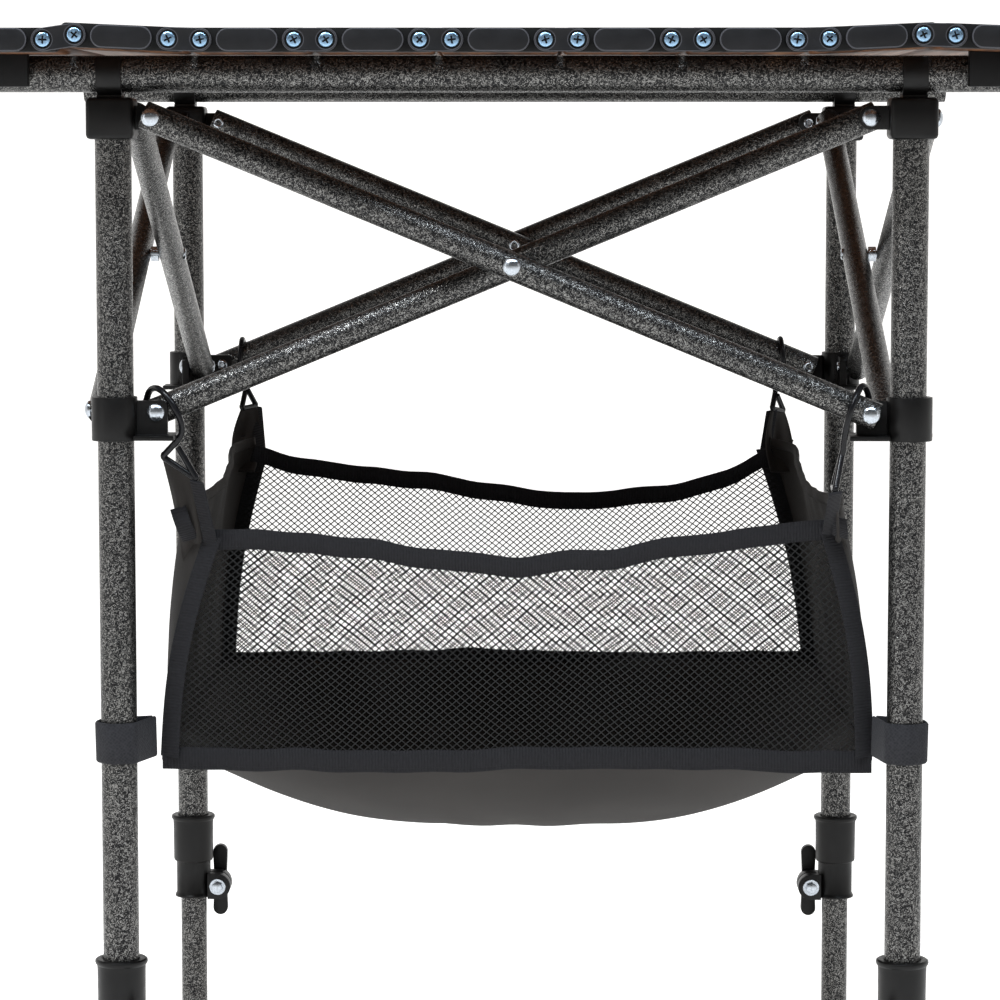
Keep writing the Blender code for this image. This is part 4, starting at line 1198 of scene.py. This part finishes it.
def strap(corner):
    """A hook-and-loop strap: a slack turn round the leg whose ends close towards the basket."""
    node = f"strap_{corner}"
    height = centre(node).z
    middle, towards = leg_axis(corner, height), (base_corner(corner) - leg_axis(corner, BASE_Z)).normalized()
    side = vec(-towards.y, towards.x, 0)
    ring, tip = UPPER_R + 0.0006 + STRAP_THICK / 2, 0.0272
    lean = acos((ring - STRAP_THICK * 0.6) / tip)
    path = [middle + towards * tip + side * STRAP_THICK * 0.55]
    for i in range(37):
        a = lean + (2 * pi - 2 * lean) * i / 36
        slack = ring + 0.0007 * sin(3 * a) ** 2
        path.append(middle + (towards * cos(a) + side * sin(a)) * slack)
    path.append(middle + towards * tip - side * STRAP_THICK * 0.55)
    loop = tape(path, (0.02 * CORNERS[corner][0], 0, 1), STRAP_WIDE, STRAP_THICK)
    put(loop, f"strap_loop_{corner}", PILE, BODY_OF[node], node, sharp=40)


for corner in CORNERS:
    strap(corner)


# ---------------------------------------------------------------- studio

def sweep():
    """A pale round floor that curves up into a low wall all round, brightest behind the table."""
    flat, radius, top = 9.0, 2.5, 7.0
    profile = [(0, 0), (1.5, 0), (4.0, 0), (flat, 0)]
    profile += [(flat + radius * sin(a), radius - radius * cos(a))
                for a in (pi / 2 * i / 20 for i in range(1, 21))] + [(flat + radius, top)]
    obj = link(turned(profile, 96))
    obj.data.flip_normals()
    obj.data.shade_smooth()
    obj.name = "studio_sweep"
    made = Nodes("studio_paper").set(Roughness=0.95, Specular_IOR_Level=0.1, Emission_Color=(1.0, 0.99, 0.975))
    at = made.places()
    rise = made.add("ShaderNodeMapRange", {"Value": made.part(at, "Z"), "From Max": 1.6}).outputs[0]
    wall = made.add("ShaderNodeMapRange", {"Value": made.part(at, "Y"), "From Min": -4.6, "From Max": 5.7,
                                           "To Min": 0.04, "To Max": 1.0}).outputs[0]
    glow = made.add("ShaderNodeMix", {"Factor": rise, "A": 0.75, "B": wall}, data_type="FLOAT").outputs[0]
    tone = made.mix(rise, (0.90, 0.89, 0.87), (0.28, 0.28, 0.28))
    obj.data.materials.append(made.finish(Base_Color=tone, Emission_Strength=glow))


# Name: place, point it faces, size, power and colour
LIGHTS = {
    "strip_above": ((0, -1.35, 2.55), (0, -0.2, 0.62), (3.4, 0.22), 58, (0.80, 0.90, 1.0)),
    "key_above_left": ((-1.15, -1.45, 2.6), (0, -0.2, 0.62), (0.5, 0.4), 26, (1, 1, 1)),
    "strip_left": ((-2.4, -1.5, 0.9), (0, 0, 0.55), (0.45, 2.2), 6.5, (1, 1, 1)),
    "strip_right": ((2.6, -1.3, 0.9), (0, 0, 0.55), (0.35, 2.0), 2.4, (1, 1, 1)),
    "overhead": ((0, 0.6, 3.2), (0, 0.1, 0.6), (2.4, 2.0), 20, (1, 1, 1)),
}

sweep()
for name, (at, towards, size, power, colour) in LIGHTS.items():
    data = bpy.data.lights.new(name, "AREA")
    data.shape, data.size, data.size_y = "RECTANGLE", *size
    data.energy, data.color = power, colour
    light = link(bpy.data.objects.new(name, data))
    light.location = at
    light.rotation_euler = (Vector(towards) - Vector(at)).to_track_quat("-Z", "Y").to_euler()

world = bpy.data.worlds.new("studio")
bpy.context.scene.world = world
world.use_nodes = True
sky = world.node_tree.nodes["Background"].inputs
sky["Color"].default_value, sky["Strength"].default_value = (0.90, 0.95, 1, 1), 0.11
bpy.context.scene.view_settings.view_transform = "Standard"

camera = bpy.data.cameras.new("camera")
camera.lens, camera.sensor_width = 129.65, 36
camera_object = link(bpy.data.objects.new("camera", camera))
camera_object.location = (FRAME_X + 0.0087, -2.4164, 0.7313)
camera_object.rotation_euler = (radians(84.393), 0, radians(0.416))
bpy.context.scene.camera = camera_object
